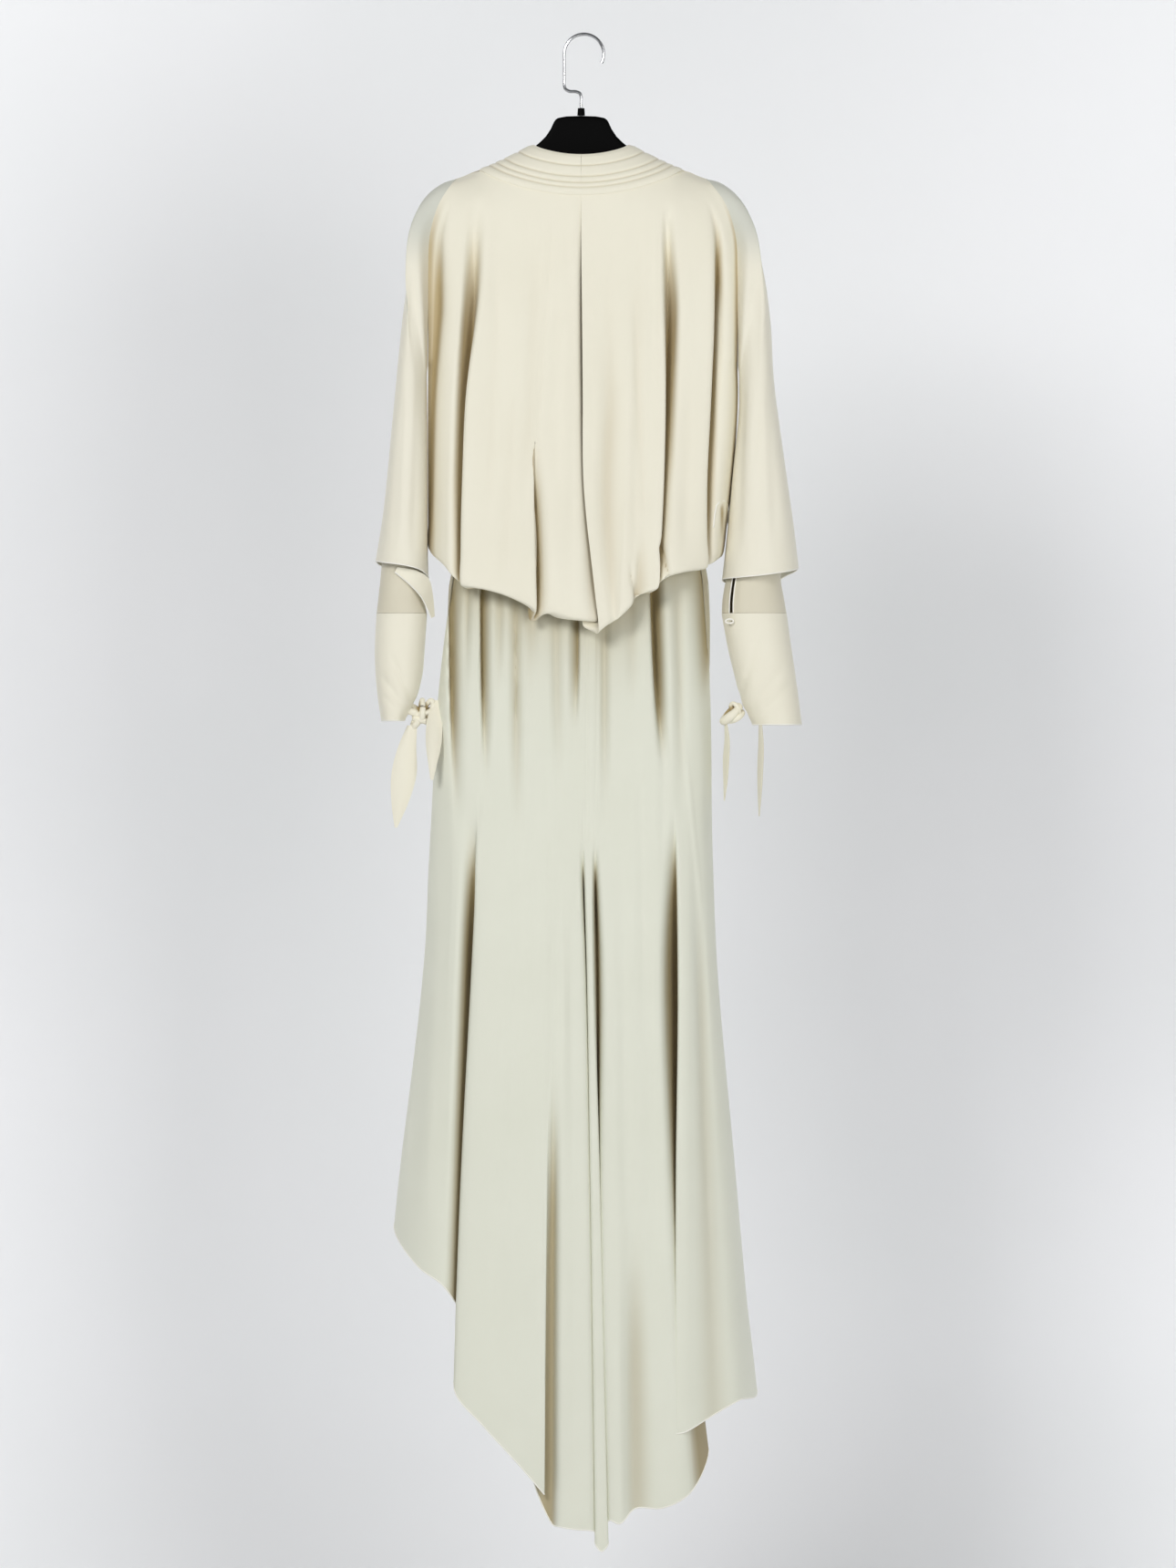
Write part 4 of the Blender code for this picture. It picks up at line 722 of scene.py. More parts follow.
nets = {}
body_rows = (ARM_ROWS + BODY_ROWS) * BLOUSE_DOWN
for name, folds, front, band, soft_folds in (
        ("back_left", BACK_LEFT_FOLDS, False, BACK_BAND, BACK_CREASES),
        ("back_right", BACK_RIGHT_FOLDS, False, BACK_BAND, BACK_CREASES),
        ("front_bodice", FRONT_FOLDS, True, FRONT_BAND, FRONT_CREASES)):
    nets[name] = blouse(folds, front, band)
    nets[name][0] = top_row(nets[name][0], front, band)
    grid = fine(nets[name], BLOUSE_DOWN)
    grid[0] = top_row(grid[0], front, band)
    grid[1:body_rows] = creased(grid[:body_rows], soft_folds)[1:]
    shade = blouse_painted_shade(name, grid, fine(blouse(folds, front, band, flat=True), BLOUSE_DOWN))
    # The turned-under part takes a share of the painted shade above it; the inner face gets painted shade,
    # little on the roll
    shade[body_rows:] = shade[body_rows - 1] * 0.6
    inner_shade = np.full(shade.shape, 0.6)
    inner_shade[body_rows - 4:] = 0.1
    cloth(name, grid, bodice_silk, shade=shade, inside=inner_shade)
    if name == "back_right":
        body = grid[:body_rows].reshape(-1, 3)
        near = [np.argmin(np.hypot(body[:, 0] - x, body[:, 2] - z)) for x, z in CURL]
        curl = [(x, y - 0.8, z) for (x, z), y in zip(CURL, body[near, 1])]
        curled_edge = rolled_edge("curled_edge", curl, 1.2)

# The armhole's edge round each side, and the way out of the cloth there, for the sleeves
edges = {}
for hand, back, back_col, front_col in ((-1, nets["back_left"], 0, -1), (1, nets["back_right"], -1, 0)):
    pieces = []
    for net, col in ((back, back_col), (nets["front_bodice"], front_col)):
        beside = 1 if col == 0 else -2
        pieces.append((net[:ARM_ROWS, col], unit(net[:ARM_ROWS, col] - net[:ARM_ROWS, beside])))
    edges[hand] = [np.concatenate([pieces[0][k], pieces[1][k][-2:0:-1]]) for k in range(2)]


# The neck band: two layers of the same crepe with a firm lining, quilted together by rows of
# stitching that follow the neck, and joined at the centre back and on the shoulders.
BACK_NECK = (-149.0, 13.0)
FRONT_NECK = (-206.0, 70.0)
BAND_SEAM = -1.2           # the band laps over the blouse
BAND_CHANNELS = (0.28, 0.55, 0.70, 0.82)   # the stitched rows, as shares of the band's width
BAND_PUFF = 1.3
BAND_THICK = 1.6


def neck_z(x, drop, rise):
    """Height of the neck edge: drop plus rise times the square of x's share."""
    return drop + rise * ((x - MIDDLE_X) / (NECK_HALF + 8)) ** 2


def band_grid(hand, front, wide=60, tall=48):
    """A piece of the neck band between the neck edge and the blouse, on the blouse's form.
    The cloth puffs between stitched rows: BAND_PUFF times (1 - exp(-(gap / 0.03) squared)).
    Also gives the painted shade in the stitched rows."""
    share = np.linspace(0.0, 1.0, wide)[None, :]
    down = np.linspace(0.0, 1.0, tall)[:, None]
    low_x = MIDDLE_X + hand * (BAND_HALF + 2) * (1 - share)
    top_x = MIDDLE_X + hand * (NECK_HALF + 5) * (1 - share)
    x = top_x + (low_x - top_x) * down
    low = band_z(low_x, *(FRONT_BAND if front else BACK_BAND)) + BAND_SEAM
    high = neck_z(top_x, *(FRONT_NECK if front else BACK_NECK))
    z = high + (low - high) * down
    z = z + (1 - share) ** 24 * (shoulder_z(x) - z)
    y = np.maximum(depth(x, z, BLOUSE_HEIGHTS, BLOUSE_FRONT if front else BLOUSE_BACK), SEAM / 2)
    y = y + 0.8 * down
    grid = np.stack([x, y if front else -y, z], axis=2)
    grid = grid if (hand < 0) != front else grid[:, ::-1]
    sunk = sum(np.exp(-((down - row) / 0.03) ** 2) for row in BAND_CHANNELS) * np.ones_like(share)
    puff = BAND_PUFF * (1 - sunk) * ease(down * 12) * ease((1 - down) * 12)
    return grid + outward(grid, False) * puff[..., None], 0.42 * sunk**3


for name, hand, front in (("neck_band_left", -1, False), ("neck_band_right", 1, False),
                          ("neck_front_right", 1, True), ("neck_front_left", -1, True)):
    # The sunk stitched channels get painted shade
    grid, stitched = band_grid(hand, front)
    piece = cloth(name, grid, bodice_silk, thick=BAND_THICK, shade=stitched)


# The skirt: five long panels of the same crepe, cut narrow at the waist and flared below the
# knee, joined into one tube, with a narrow pleat down the centre back and a hem that falls
# from the front to the end of the train.
SKIRT_LEVELS = (-555.0, -817.0, -1009.0, -1156.0, -1427.0, -1868.0)   # where x and depth are given
SKIRT_BACK = (35.0, 44.0, 54.0, 64.0, 84.0, 112.0)
SKIRT_FRONT = (33.0, 40.0, 46.0, 54.0, 70.0, 92.0)

# One row for each fold line, round from the left side over the back: name, x at the six
# levels, how far it is tucked in, the height where the tuck starts, the height of the hem
SKIRT_FOLDS = (
    ("side left",          (-146, -181, -192, -202, -231, -272),  0,  -900, -1476),
    ("side left crest",    (-130, -163, -166, -174, -198, -231),  0,  -900, -1527),
    ("left fold lip",      (-114, -146, -151, -157, -168, -184),  1,  -960, -1552),
    ("left fold deep",     (-103, -134, -135, -134, -141, -150), 40,  -960, -1610),
    ("main left edge",      (-92, -122, -130, -138, -152, -166),  2,  -960, -1678),
    ("main crest",          (-75, -103, -108, -109, -116, -128), -2,  -900, -1723),
    ("main flat",           (-52,  -66,  -71,  -72,  -78,  -84), -1,  -900, -1768),
    ("pocket left lip",     (-36,  -45,  -46,  -46,  -47,  -50), -1, -1250, -1806),
    ("pocket far",          (-31,  -37,  -39,  -40,  -44,  -66),  6, -1260, -1792),
    ("pocket deep",         (-26,  -31,  -33,  -34,  -37,  -40), 11, -1260, -1843),
    ("pocket right lip",    (-20,  -25,  -27,  -28,  -29,  -30), -1, -1250, -1846),
    ("ridge left",          (-12,  -16,  -16,  -17,  -14,  -12), -4, -1000, -1849),
    ("centre left lip",      (-5,   -8,   -7,   -1,    5,   11), -1,  -960, -1851),
    ("centre left deep",      (0,   -3,   -2,    3,    9,   14), 18, -1005, -1857),
    ("strip left",            (4,    2,    1,    4,    8,   14), -1,  -960, -1868),
    ("strip crest",           (8,    7,    6,    9,   14,   21), -3,  -960, -1876),
    ("strip right",          (12,   12,    9,   11,   19,   29), -1,  -960, -1868),
    ("centre right deep",    (16,   17,   13,   16,   16,   26), 20, -1005, -1850),
    ("centre right lip",     (21,   23,   19,   24,   22,   32), -1,  -960, -1838),
    ("ridge right",          (29,   35,   36,   37,   38,   44), -4, -1000, -1842),
    ("soft valley",          (46,   58,   60,   61,   61,   63),  7, -1430, -1824),
    ("mid crest",            (64,   78,   80,   80,   84,   98), -1, -1000, -1823),
    ("right fold lip",       (78,   91,   97,   94,  104,  134),  1,  -960, -1806),
    ("right fold deep",      (86,  101,  112,  118,  122,  166), 40,  -960, -1750),
    ("right edge",           (93,  110,  115,  117,  114,  111),  0,  -960, -1733),
    ("right crest",         (103,  121,  125,  127,  125,  124), -2,  -960, -1730),
    ("right valley",        (118,  133,  138,  145,  151,  164),  5, -1000, -1710),
    ("right crest two",     (128,  145,  149,  156,  172,  203), -1, -1000, -1693),
    ("side right",          (137,  156,  159,  166,  190,  232),  0,  -900, -1685),
    ("front right",         (118,  135,  138,  144,  160,  190),  0,  -900, -1585),
    ("front right dip",      (80,   88,   88,   90,   98,  115),  8,  -900, -1518),
    ("front right crest",    (40,   42,   42,   43,   46,   54), -2,  -900, -1472),
    ("front dip",            (-4,   -5,   -6,   -6,   -8,  -10),  7,  -900, -1450),
    ("front left crest",    (-46,  -52,  -56,  -58,  -64,  -74), -2,  -900, -1438),
    ("front left dip",      (-86,  -98, -104, -110, -122, -140),  8,  -900, -1438),
    ("front left",         (-122, -148, -158, -166, -186, -214),  0,  -900, -1452),
)

# Deep folds below the blouse: x and z of the upper end, x and z of the lower, half width,
# depth, and how far the fold's bottom runs sideways behind its lip
SKIRT_TROUGHS = (
    (-162, -620, -158, -940,  6, 17,  -6),
    (-144, -640, -147, -800,  4,  5,   0),
    (-123, -640, -121, -900,  5, 16,  -6),
    (-104, -650, -107, -820,  5,  5,   0),
    (-86,  -650,  -84, -980,  6,  8,   0),
    (-64,  -660,  -65, -800,  7,  4,   0),
    (-36,  -680,  -33, -920,  7,  5,   0),
    (-12,  -690,  -13, -850,  5, 12,   4),
    (25,   -690,   25, -960,  6,  6,   0),
    (57,   -670,   60, -840,  8,  4,   0),
    (88,   -640,   97, -880,  6, 26,  -8),
    (115,  -650,  121, -950,  7,  5,   0),
    (144,  -620,  147, -820,  8, 18,   8),
)

# Softer folds, their rows in the same order as the blouse's
SKIRT_CREASES = (
    (-60, -900, -64, -1500, 16, 3.0),
    (-100, -1150, -108, -1650, 12, 2.6),
    (-190, -1050, -214, -1420, 12, 3.0),
    (-170, -1000, -184, -1460, 9, 2.4),
    (74, -1000, 90, -1700, 12, 3.0),
    (44, -1000, 52, -1500, 9, 2.0),
    (150, -1050, 176, -1600, 12, 3.0),
    (188, -1250, 208, -1640, 10, 2.0),
    (-24, -1000, -22, -1800, 8, 1.6),
    (-106, -800, -142, -1100, 3, -0.9),
    (116, -800, 147, -1100, 3, -0.9),
    (-80, -850, -84, -1560, 5, 0.9),
    (-46, -880, -52, -1700, 5, 0.9),
    (98, -900, 96, -1040, 5, 1.2),
    (68, -880, 74, -1240, 5, 0.9),
    (-158, -1000, -178, -1480, 5, 1.1),
    (134, -980, 160, -1640, 5, 1.1),
    (2, -730, 3, -1000, 2.5, 0.9),
    (17, -730, 13, -1000, 2.5, 0.9),
)
SKIRT_ROWS, SKIRT_DOWN = 21, 4
SIDE_RIGHT = 28            # the row of SKIRT_FOLDS where the back ends
PANEL_RUN, PLEAT_RUN = 220.0, 60.0     # the lengths over which the folds deepen
# A skirt fold this deep shows the full painted shade
SKIRT_DEEP = 15.0
PAINTED_SHADOW_RUN = 45.0         # how far below the blouse the painted shadow under it reaches


def skirt(flat=False):
    """Rows of points on the skirt's fold lines, from the waist seam down to the hem."""
    share = np.linspace(0.0, 1.0, SKIRT_ROWS)
    lines = []
    for k, (name, xs, tuck, starts, hem) in enumerate(SKIRT_FOLDS):
        front = k > SIDE_RIGHT
        z = WAIST_Z + (hem - WAIST_Z) * share
        x = smooth(z, SKIRT_LEVELS, xs)
        left = smooth(z, SKIRT_LEVELS, SKIRT_FOLDS[0][1])
        right = smooth(z, SKIRT_LEVELS, SKIRT_FOLDS[SIDE_RIGHT][1])
        xi = np.clip((x - (left + right) / 2) / ((right - left) / 2), -1, 1)
        half = smooth(z, SKIRT_LEVELS, SKIRT_FRONT if front else SKIRT_BACK)
        run = PLEAT_RUN if name.startswith("centre") and name.endswith("deep") else PANEL_RUN
        y = half * np.sqrt(1 - xi**4) - (0 if flat else tuck) * ease((starts - z) / run)
        y = y if front else -y
        lines.append(np.stack([x, y, z], axis=1))
    return np.stack(lines, axis=1)


def troughs(grid):
    """Presses the soft troughs into the skirt's back, deepest along the middle of each line."""
    x, y, z = (grid[..., k] for k in range(3))
    shift = np.zeros_like(y)
    aside = np.zeros_like(y)
    for x1, z1, x2, z2, half, deep, lean in SKIRT_TROUGHS:
        along = (z1 - z) / (z1 - z2)
        middle = x1 + (x2 - x1) * along
        fade = ease(along * 4) * ease((1.2 - along) * 1.4)
        press = fade * np.exp(-((x - middle) / half) ** 2)
        shift += deep * press
        aside += lean * press
    grid[..., 0] = np.where(y < -5, x + aside, x)
    grid[..., 1] = np.where(y < -5, y + shift, y)
    return grid


# Its colours are greyer and darker than the bodice's, though the crepe is the same: painted shade on the
# lower dress
skirt_silk = silk_crepe("ivory silk crepe, skirt", "#E8E9DA", "#E0E1D0", "#9E8C5F")
skirt_grid = troughs(fine(skirt(), SKIRT_DOWN, ring=True))
# Painted shade, browner deeper in a fold
skirt_painted_shade = shade_of(skirt_grid, fine(skirt(flat=True), SKIRT_DOWN, ring=True), SKIRT_DEEP)
# Painted shadow on the back just below the blouse's lower edge
hem_line = np.array([(row[2][-1], row[5]) for row in BACK_LEFT_FOLDS + BACK_RIGHT_FOLDS], float)
hem_line = hem_line[np.argsort(hem_line[:, 0])]
below = np.interp(skirt_grid[..., 0], hem_line[:, 0], hem_line[:, 1]) - skirt_grid[..., 2]
painted_blouse_shadow = 0.5 * np.exp(-np.maximum(below, 0) / PAINTED_SHADOW_RUN) * (skirt_grid[..., 1] < 0)
skirt_painted_shade = 1 - (1 - 0.9 * skirt_painted_shade) * (1 - painted_blouse_shadow)
skirt_grid = creased(skirt_grid, SKIRT_CREASES, ring=True)
closed_grid, closed_painted_shade = (np.concatenate([part, part[:, :1]], axis=1) for part in (skirt_grid, skirt_painted_shade))
for name, first, last, flat, area in (
        ("skirt_side_left", 0, 3, (0.14, 1.06), 0.10), ("skirt_back_left", 3, 13, (0.32, 1.30), 0.26),
        ("skirt_back_right", 13, 23, (0.28, 1.32), 0.21), ("skirt_side_right", 23, 28, (0.20, 1.20), 0.15),
        ("skirt_front", 28, 36, (0.50, 1.13), 0.39)):
    cut = slice(first * ACROSS, last * ACROSS + 1)
    piece = cloth(name, closed_grid[:, cut], skirt_silk, shade=closed_painted_shade[:, cut])
    hem = rolled_edge("hem_" + name, closed_grid[-1, cut])


# The sleeves: wide tubes of the same crepe, set into low armholes, one layer at the head and
# open at the elbow, with hems that fall a little lower in front.
UNDERARM_APART = 2.4       # how far the sleeve's underarm stands off the blouse
# The outlines: x and z of points down the outer and the inner side, then z round the hem
SLEEVE_OUTER_LEFT = ((-159, -177.5), (-181, -186), (-196, -198), (-206, -219), (-219, -297),
                     (-234, -433), (-247, -568), (-254, -625), (-259, -652))
SLEEVE_OUTER_RIGHT = ((151, -177.5), (181, -189), (193, -203), (202, -229), (223, -297),
                      (236, -433), (254, -568), (262, -625), (266, -661))
SLEEVE_INNER_LEFT = ((-196.6, -410), (-195.6, -470), (-195, -560), (-194.8, -640), (-194, -700))
SLEEVE_INNER_RIGHT = ((192.6, -410), (191.5, -460), (184.5, -540), (176, -636), (171.5, -676))
SLEEVE_HEM_LEFT = (-652, -655, -658, -664, -674, -680, -670, -660)
SLEEVE_HEM_RIGHT = (-661, -666, -671, -674, -676, -682, -686, -670)
SLEEVE_STOPS = (0.0, 0.35, 0.7, 1.0)
SLEEVE_DEPTH = (28.0, 40.0, 46.0, 50.0)     # half its width front to back, shoulder to hem
SLEEVE_SETTLE = 0.4        # share of its length over which it settles to its own outline
SLEEVE_TURNS = np.concatenate([ARM_TURNS, 2 * np.pi - ARM_TURNS[-2:0:-1]])
SLEEVE_ROWS = (0.0, 0.04, 0.1, 0.18, 0.28, 0.4, 0.53, 0.66, 0.78, 0.89, 1.0)
SLEEVE_DOWN = 6
ROUND = {-1: slice(None), 1: slice(None, None, -1)}     # the columns' order round each arm
SLEEVE_CREASES = (
    (-212, -280, -222, -560,  7, 2.2),
    (-226, -430, -236, -640,  6, 1.8),
    (-205, -420, -212, -640,  6, 2.0),
    (212, -280, 216, -560,    8, 2.4),
    (228, -420, 238, -640,    7, 1.8),
    (196, -430, 190, -640,    6, 2.2),
)


def sleeve_grid(side, outer, inner, hems):
    """The wide sleeve as a tube that starts at the armhole and turns level towards its hem.
    Its columns are the rows of the blouse's armhole edge, back and front. Each starts on
    the armhole and runs like the outer or the inner line, by how far out it lies."""
    turn = SLEEVE_TURNS
    outer, inner = np.array(outer, float), np.array(inner, float)
    run, drop = run_of(outer), run_of(inner)
    top_x, _, top_z = armhole(turn, side)
    lean = (1 + np.cos(turn)) / 2
    top_x = top_x + side * UNDERARM_APART * (1 - lean) ** 3
    hem_x = inner[-1, 0] + (outer[-1, 0] - inner[-1, 0]) * lean
    hem_z = smooth(turn / (2 * np.pi) * len(hems), np.arange(len(hems) + 1), hems + hems[:1])
    end_x = top_x + lean * (outer[-1, 0] - outer[0, 0]) + (1 - lean) * (inner[-1, 0] - inner[0, 0])
    end_z = top_z + lean * (outer[-1, 1] - outer[0, 1]) + (1 - lean) * (inner[-1, 1] - inner[0, 1])
    grid = []
    for t in SLEEVE_ROWS:
        out_x, out_z = (smooth(t * run[-1], run, outer[:, k]) - outer[0, k] for k in (0, 1))
        in_x, in_z = (smooth(t * drop[-1], drop, inner[:, k]) - inner[0, k] for k in (0, 1))
        x = top_x + lean * out_x + (1 - lean) * in_x + (hem_x - end_x) * t ** 1.5
        z = top_z + lean * out_z + (1 - lean) * in_z + (hem_z - end_z) * t ** 1.5
        side_x = smooth(np.minimum(z, inner[0, 1]), inner[:, 1], inner[:, 0])
        outline = side_x + (smooth(z, outer[:, 1], outer[:, 0]) - side_x) * lean
        x = x + (outline - x) * ease(t / SLEEVE_SETTLE) * (t < 1)
        y = smooth(t, SLEEVE_STOPS, SLEEVE_DEPTH) * np.abs(np.sin(turn)) ** 0.8
        grid.append(np.stack([x, y * np.where(turn <= np.pi, -1, 1), z], axis=1))
    return np.array(grid)


sleeve_silk = silk_crepe("ivory silk crepe, sleeve", "#F3EFDE", "#ECE7D4", "#CFD1C6")
sleeve_nets = {}
for side, label, outer, inner, hems in (
        (-1, "left", SLEEVE_OUTER_LEFT, SLEEVE_INNER_LEFT, SLEEVE_HEM_LEFT),
        (1, "right", SLEEVE_OUTER_RIGHT, SLEEVE_INNER_RIGHT, SLEEVE_HEM_RIGHT)):
    net = sleeve_grid(side, outer, inner, hems)
    from_under = np.abs(SLEEVE_TURNS - np.pi) / np.pi
    blend = ease((from_under - 0.2) / 0.25)[:, None]
    points, along = edges[side]
    away = along * blend + np.array([side, 0.0, -0.2]) * (1 - blend)
    net[0] = points + unit(away) * (0.1 + (1 - blend) * (CLOTH - 0.1))
    sleeve_nets[side] = net
    grid = creased(fine(net[:, ROUND[side]], SLEEVE_DOWN, ring=True), SLEEVE_CREASES, ring=True)
    sheer_head = 0.85 * ease((grid[..., 2] + 300) / 70)
    piece = cloth("sleeve_" + label, grid, sleeve_silk, ring=True, shade=sheer_head)
    hem = rolled_edge("hem_sleeve_" + label, grid[-1], closed=True)


# The under-sleeves and cuffs: one sheer layer inside each sleeve, and below it a deep cuff of
# double crepe that narrows to the wrist. The right one keeps an open slot with a thread loop.
# Each level down them: z, the outer and the inner x, half the depth
UNDER_LEFT = ((-636, -250, -203, 36), (-672, -253, -200, 33), (-700, -256, -199.5, 32))
UNDER_RIGHT = ((-640, 252, 184, 40), (-672, 244, 177, 37), (-700, 248, 172, 36))
CUFF_LEFT = ((-718, -258, -196, 31), (-762, -260, -199, 31), (-795, -259, -202, 31),
             (-825, -256, -210, 30), (-851, -252, -223, 29))
CUFF_RIGHT = ((-718, 251, 171, 36), (-762, 257, 179, 35), (-795, 262, 187, 34),
              (-825, 266, 195, 32), (-856, 270, 209, 30))
CUFF_CREASES = (
    (-256, -790, -214, -846, 4, 1.8),
    (-240, -770, -208, -838, 4, 1.6),
    (-250, -820, -218, -852, 3, 1.4),
    (250, -780, 200, -846,   5, 1.8),
    (262, -800, 208, -852,   4, 1.6),
    (222, -740, 190, -830,   4, 1.4),
)
CUFF_DOWN = 8
CUFF_THICK, SHEER_THICK = 1.1, 0.5
STITCHED_ROW = 7           # the sleeve's row that carries the under-sleeve
UNDER_INSIDE = 6.0         # and how far inside it the stitching lies
SLOT_COLUMN = 6
SLOT_HALF = 3.4
LOOP_MIDDLE, LOOP_WIDE, LOOP_TALL = (180.0, -30.5, -728.0), 5.0, 2.6
# The left facing's free edge and its fold: x, y and z of points along each
FACING_EDGE = ((-235, -36, -667), (-217, -36, -682), (-203, -31, -697), (-195, -24, -712), (-190, -18, -724))
FACING_FOLD = ((-232, -36, -661), (-207, -33, -666), (-193, -22, -676), (-188, -16, -698), (-186, -14, -722))


def oval(row):
    """A level oval by its height, its outer and inner x and its half depth: x is half its
    width times (cos turn) to the power 0.9, y its half depth times (sin turn)."""
    z, outer, inner, half = row
    wave = np.cos(SLEEVE_TURNS)
    x = (outer + inner) / 2 + (outer - inner) / 2 * np.sign(wave) * np.abs(wave) ** 0.9
    return np.stack([x, -half * np.sin(SLEEVE_TURNS), np.full_like(x, z)], axis=-1)


def left_facing():
    """The left under-sleeve's cream facing: it shows below the hem as a corner that stands out
    a little at its foot, and its edge crosses the sheer layer."""
    edge, fold = (through(np.array([row], float), 8)[0] for row in (FACING_EDGE, FACING_FOLD))
    share = np.linspace(0.0, 1.0, 9)[None, :, None]
    grid = edge[:, None] * (1 - share) + fold[:, None] * share
    facing = shell("facing_left", grid, bodice_silk, inside=0.3)
    return [facing, rolled_edge("facing_edge_left", edge + (0, -0.8, 0))]


def right_slot(grid):
    """The slot's two bound edges and, below it, a small oval thread loop."""
    bound = [rolled_edge("slot_edge_" + hand, grid[6:, end] + (0, -0.4, 0), 0.8)
             for hand, end in (("outer", 0), ("inner", -1))]
    turn = np.linspace(0, 2 * np.pi, 24)[:-1, None]
    loop = LOOP_MIDDLE + LOOP_WIDE * np.cos(turn) * (1, 0, 0) + LOOP_TALL * np.sin(turn) * (0, 0, 1)
    return bound + [rolled_edge("slot_loop", loop, 1.1, closed=True)]


sheer_silk = silk_crepe("sheer ivory silk", "#E9E3CE", "#E0D9C2", "#B8A47C", alpha=0.92)
for side, label, under_rows, cuff_rows in ((-1, "left", UNDER_LEFT, CUFF_LEFT),
                                           (1, "right", UNDER_RIGHT, CUFF_RIGHT)):
    net = sleeve_nets[side]
    out = outward(net, True) * -side
    cuff = np.array([oval(row) for row in cuff_rows])
    stitched = net[STITCHED_ROW] - out[STITCHED_ROW] * UNDER_INSIDE
    under = np.array([stitched] + [oval(row) for row in under_rows] + [cuff[0] + (0, 0, SEAM)])
    if side > 0:
        under = np.roll(under, -SLOT_COLUMN, axis=1)
        under = np.concatenate([under, under[:, :1]], axis=1)[:, ::-1]
        for end, beside in ((0, 1), (-1, -2)):
            under[:, end] += unit(under[:, beside] - under[:, end]) * SLOT_HALF
    grid = fine(under, SLEEVE_DOWN, ring=side < 0)
    # Painted shade on the inner face: full on the right one, with its slot, slight on the left
    piece = cloth("under_sleeve_" + label, grid, sheer_silk, slot="sheer_silk", ring=side < 0,
                  thick=SHEER_THICK, inside=0.3 if side < 0 else 1.0)
    edging = left_facing() if side < 0 else right_slot(grid)
    grid = creased(fine(cuff[:, ROUND[side]], CUFF_DOWN, ring=True), CUFF_CREASES, ring=True)
    piece = cloth("cuff_" + label, grid, bodice_silk, ring=True, thick=CUFF_THICK)
    hem = rolled_edge("hem_cuff_" + label, grid[-1], closed=True)


# The ties: narrow bias strips of the crepe, sewn to the cuffs' lower edge and knotted once,
# with leaf-shaped ends that hang free.
KNOT_LEFT = (-203.0, -842.0, 15.0, 13.0, 19.0)       # x and z, half width, depth and height
KNOT_RIGHT = (181.0, -842.0, 16.0, 13.0, 15.0)
LAP = 0.45                 # how far a tie hangs below its knot

# Each wrap of a knot: its centre's x, y and z from the knot's own, half its length and half
# its depth, its turn in the picture's plane in degrees, its tip from that plane, its thickness
WRAPS_LEFT = (
    (-15.5, -2.0,   5.0, 10.5, 5.0, -24.0, 62.0, 4.4),
    (-9.0,  -2.0, -10.0,  8.0, 4.5,  58.0, 66.0, 3.8),
    (0.0,    0.0,   1.0, 10.5, 8.0,  12.0, 80.0, 4.2),
    (0.0,    0.0,  -8.0, 10.0, 8.0, -14.0, 80.0, 4.6),
    (-2.0,  -3.0,   3.0, 13.0, 8.0,  88.0, 84.0, 3.6),
    (6.0,   -4.0,   6.0, 10.0, 4.6,  66.0, 30.0, 3.2),
)
WRAPS_RIGHT = (
    (-2.0,  -2.0,  -1.0, 13.0, 7.0,  42.0, 76.0, 5.2),
    (3.0,    1.0,  -4.0, 10.0, 7.0,  30.0, 70.0, 4.2),
    (3.0,   -5.0,   5.0,  8.0, 4.6, 120.0, 34.0, 2.8),
)

# The ties' ends: x, z and width at five points down each
TIE_LEFT_LONG = ((-214, -860, 12), (-220, -885, 22), (-224, -918, 31), (-229, -953, 21), (-234, -984, 3))
TIE_LEFT_SHORT = ((-184, -826, 8), (-186, -850, 18), (-187, -880, 19), (-188, -904, 11), (-189, -925, 3))
TIE_RIGHT_NEAR = ((176, -858, 12), (178, -876, 24), (177, -900, 30), (176, -926, 20), (174, -951, 3))
TIE_RIGHT_FAR = ((219, -856.8, 14), (220, -880, 24), (219, -915, 26), (218, -945, 16), (217, -970, 3))
TIE_ROWS, TIE_COLUMNS = 49, 17
TIE_BOW = 4.0


def wraps(shape, rows):
    """A knot as turns of rolled cloth: closed ovals, each turned about the viewing axis and
    tipped about its own length, so that they pass over and under one another."""
    points, faces, first = [], [], 0
    around = np.linspace(0, 2 * np.pi, 40, endpoint=False)
    for x, y, z, long, deep, turn, tip, thick in rows:
        turn, tip = np.radians(turn), np.radians(tip)
        along, away = long * np.cos(around), deep * np.sin(around)
        path = np.stack([along * np.cos(turn) - away * np.cos(tip) * np.sin(turn), away * np.sin(tip),
                         along * np.sin(turn) + away * np.cos(tip) * np.cos(turn)], axis=1)
        ring, quads = rounds(path + (shape[0] + x, y, shape[1] + z),
                             thick * (1 + 0.14 * np.cos(2 * around + x)), 16, closed=True)
        points.append(ring)
        faces += [tuple(first + corner for corner in quad) for quad in quads]
        first += len(ring)
    return np.concatenate(points), faces


def under_knot(shape, row):
    """The height of a level row of points that just hangs clear below a knot's oval."""
    x, z, wide, thick, tall = shape
    flat = 1 - ((row[:, 0] - x) / wide) ** 2 - (row[:, 1] / thick) ** 2
    return z - tall * np.sqrt(np.max(flat)) - LAP


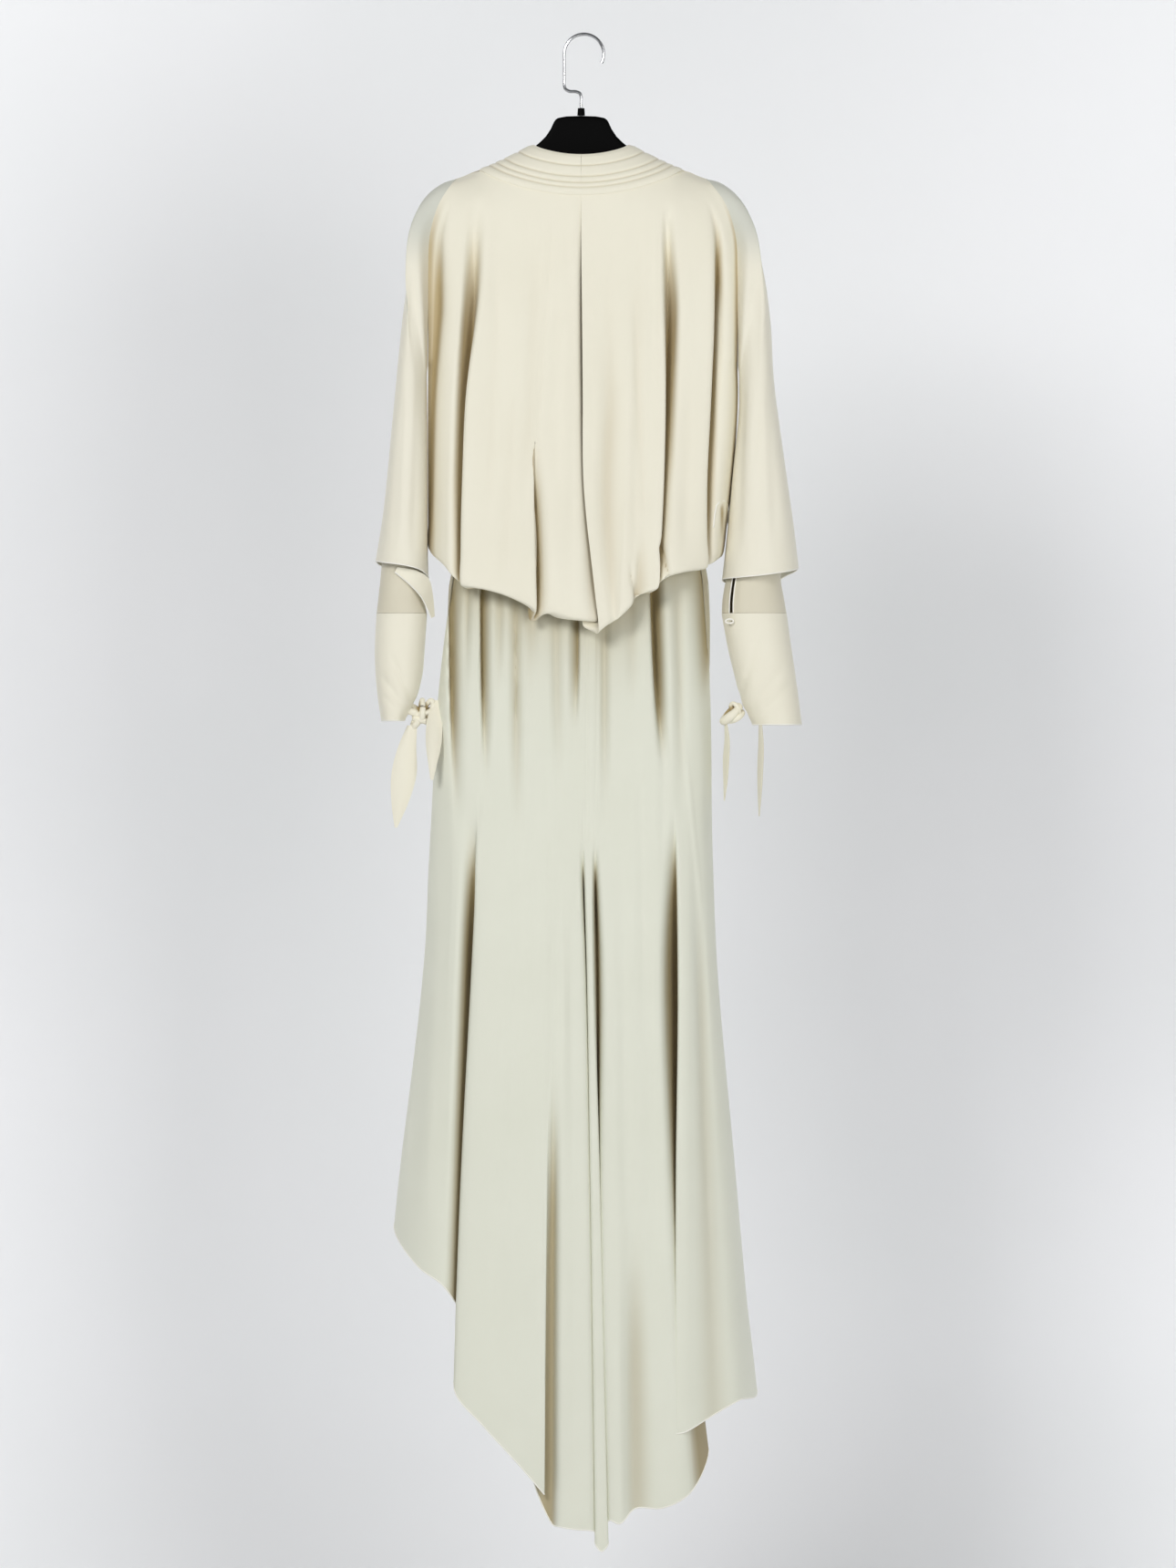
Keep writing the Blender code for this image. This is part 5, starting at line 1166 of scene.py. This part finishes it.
def tie_end(rows, front, shape, lean):
    """A tie's leaf-shaped end: its middle line and width read down the rows, bowed across by
    TIE_BOW times (1 - 4 share squared), and turned about the vertical by lean degrees."""
    across = np.linspace(-0.5, 0.5, TIE_COLUMNS)[None, :]
    turn = np.radians(lean)
    x_stops, heights, widths = np.array(rows, float).T
    z = np.linspace(heights[0], heights[-1], TIE_ROWS)
    width = np.maximum(smooth(z, heights, widths), 1.5)[:, None]
    deep = -TIE_BOW * (1 - 4 * across ** 2) * (width / width.max())
    x, y = (smooth(z, heights, stops)[:, None] for stops in (x_stops, front))
    grid = np.stack([x + width * across * np.cos(turn) + deep * np.sin(turn),
                     y + deep * np.cos(turn) - width * across * np.sin(turn),
                     np.repeat(z[:, None], TIE_COLUMNS, axis=1)], axis=2)
    if shape:
        lift = under_knot(shape, grid[0]) - z[0]
        grid[..., 2] += lift * (np.linspace(1.0, 0.0, TIE_ROWS) ** 2)[:, None]
    return grid


knots, seated = {}, {None: None}
for name, shape, rows in (("knot_left", KNOT_LEFT, WRAPS_LEFT), ("knot_right", KNOT_RIGHT, WRAPS_RIGHT)):
    low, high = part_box(name)
    seated[name] = ((low.x + high.x) / 2 / MM, *shape[1:])
    points, faces = wraps(seated[name], rows)
    off = (points - (seated[name][0], 0.0, shape[1])) / (shape[2], shape[3], shape[4])
    # Painted shade, darker towards the knot's middle
    within = ease((0.92 - np.linalg.norm(off, axis=1)) / 0.35)
    knots[name] = mesh_piece("cloth_" + name, points, faces, bodice_silk, shade=within)
    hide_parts(name)

# Each end's row gives its name, its points, its y at them, the knot that it hangs under, its
# turn in degrees, its flat size and its area
for name, rows, front, knot, lean, flat, area in (
        ("tie_left_long", TIE_LEFT_LONG, (-4, -7, -10, -14, -16), "knot_left", 0.0, (0.032, 0.13), 0.0028),
        ("tie_left_short", TIE_LEFT_SHORT, (-3, -14, -28, -38, -43), None, 0.0, (0.02, 0.11), 0.0015),
        ("tie_right_near", TIE_RIGHT_NEAR, (0,) * 5, "knot_right", 80.0, (0.028, 0.095), 0.0019),
        ("tie_right_far", TIE_RIGHT_FAR, (-23,) * 5, None, 80.0, (0.027, 0.117), 0.0024)):
    piece = cloth(name, tie_end(rows, front, seated[knot], lean), bodice_silk)
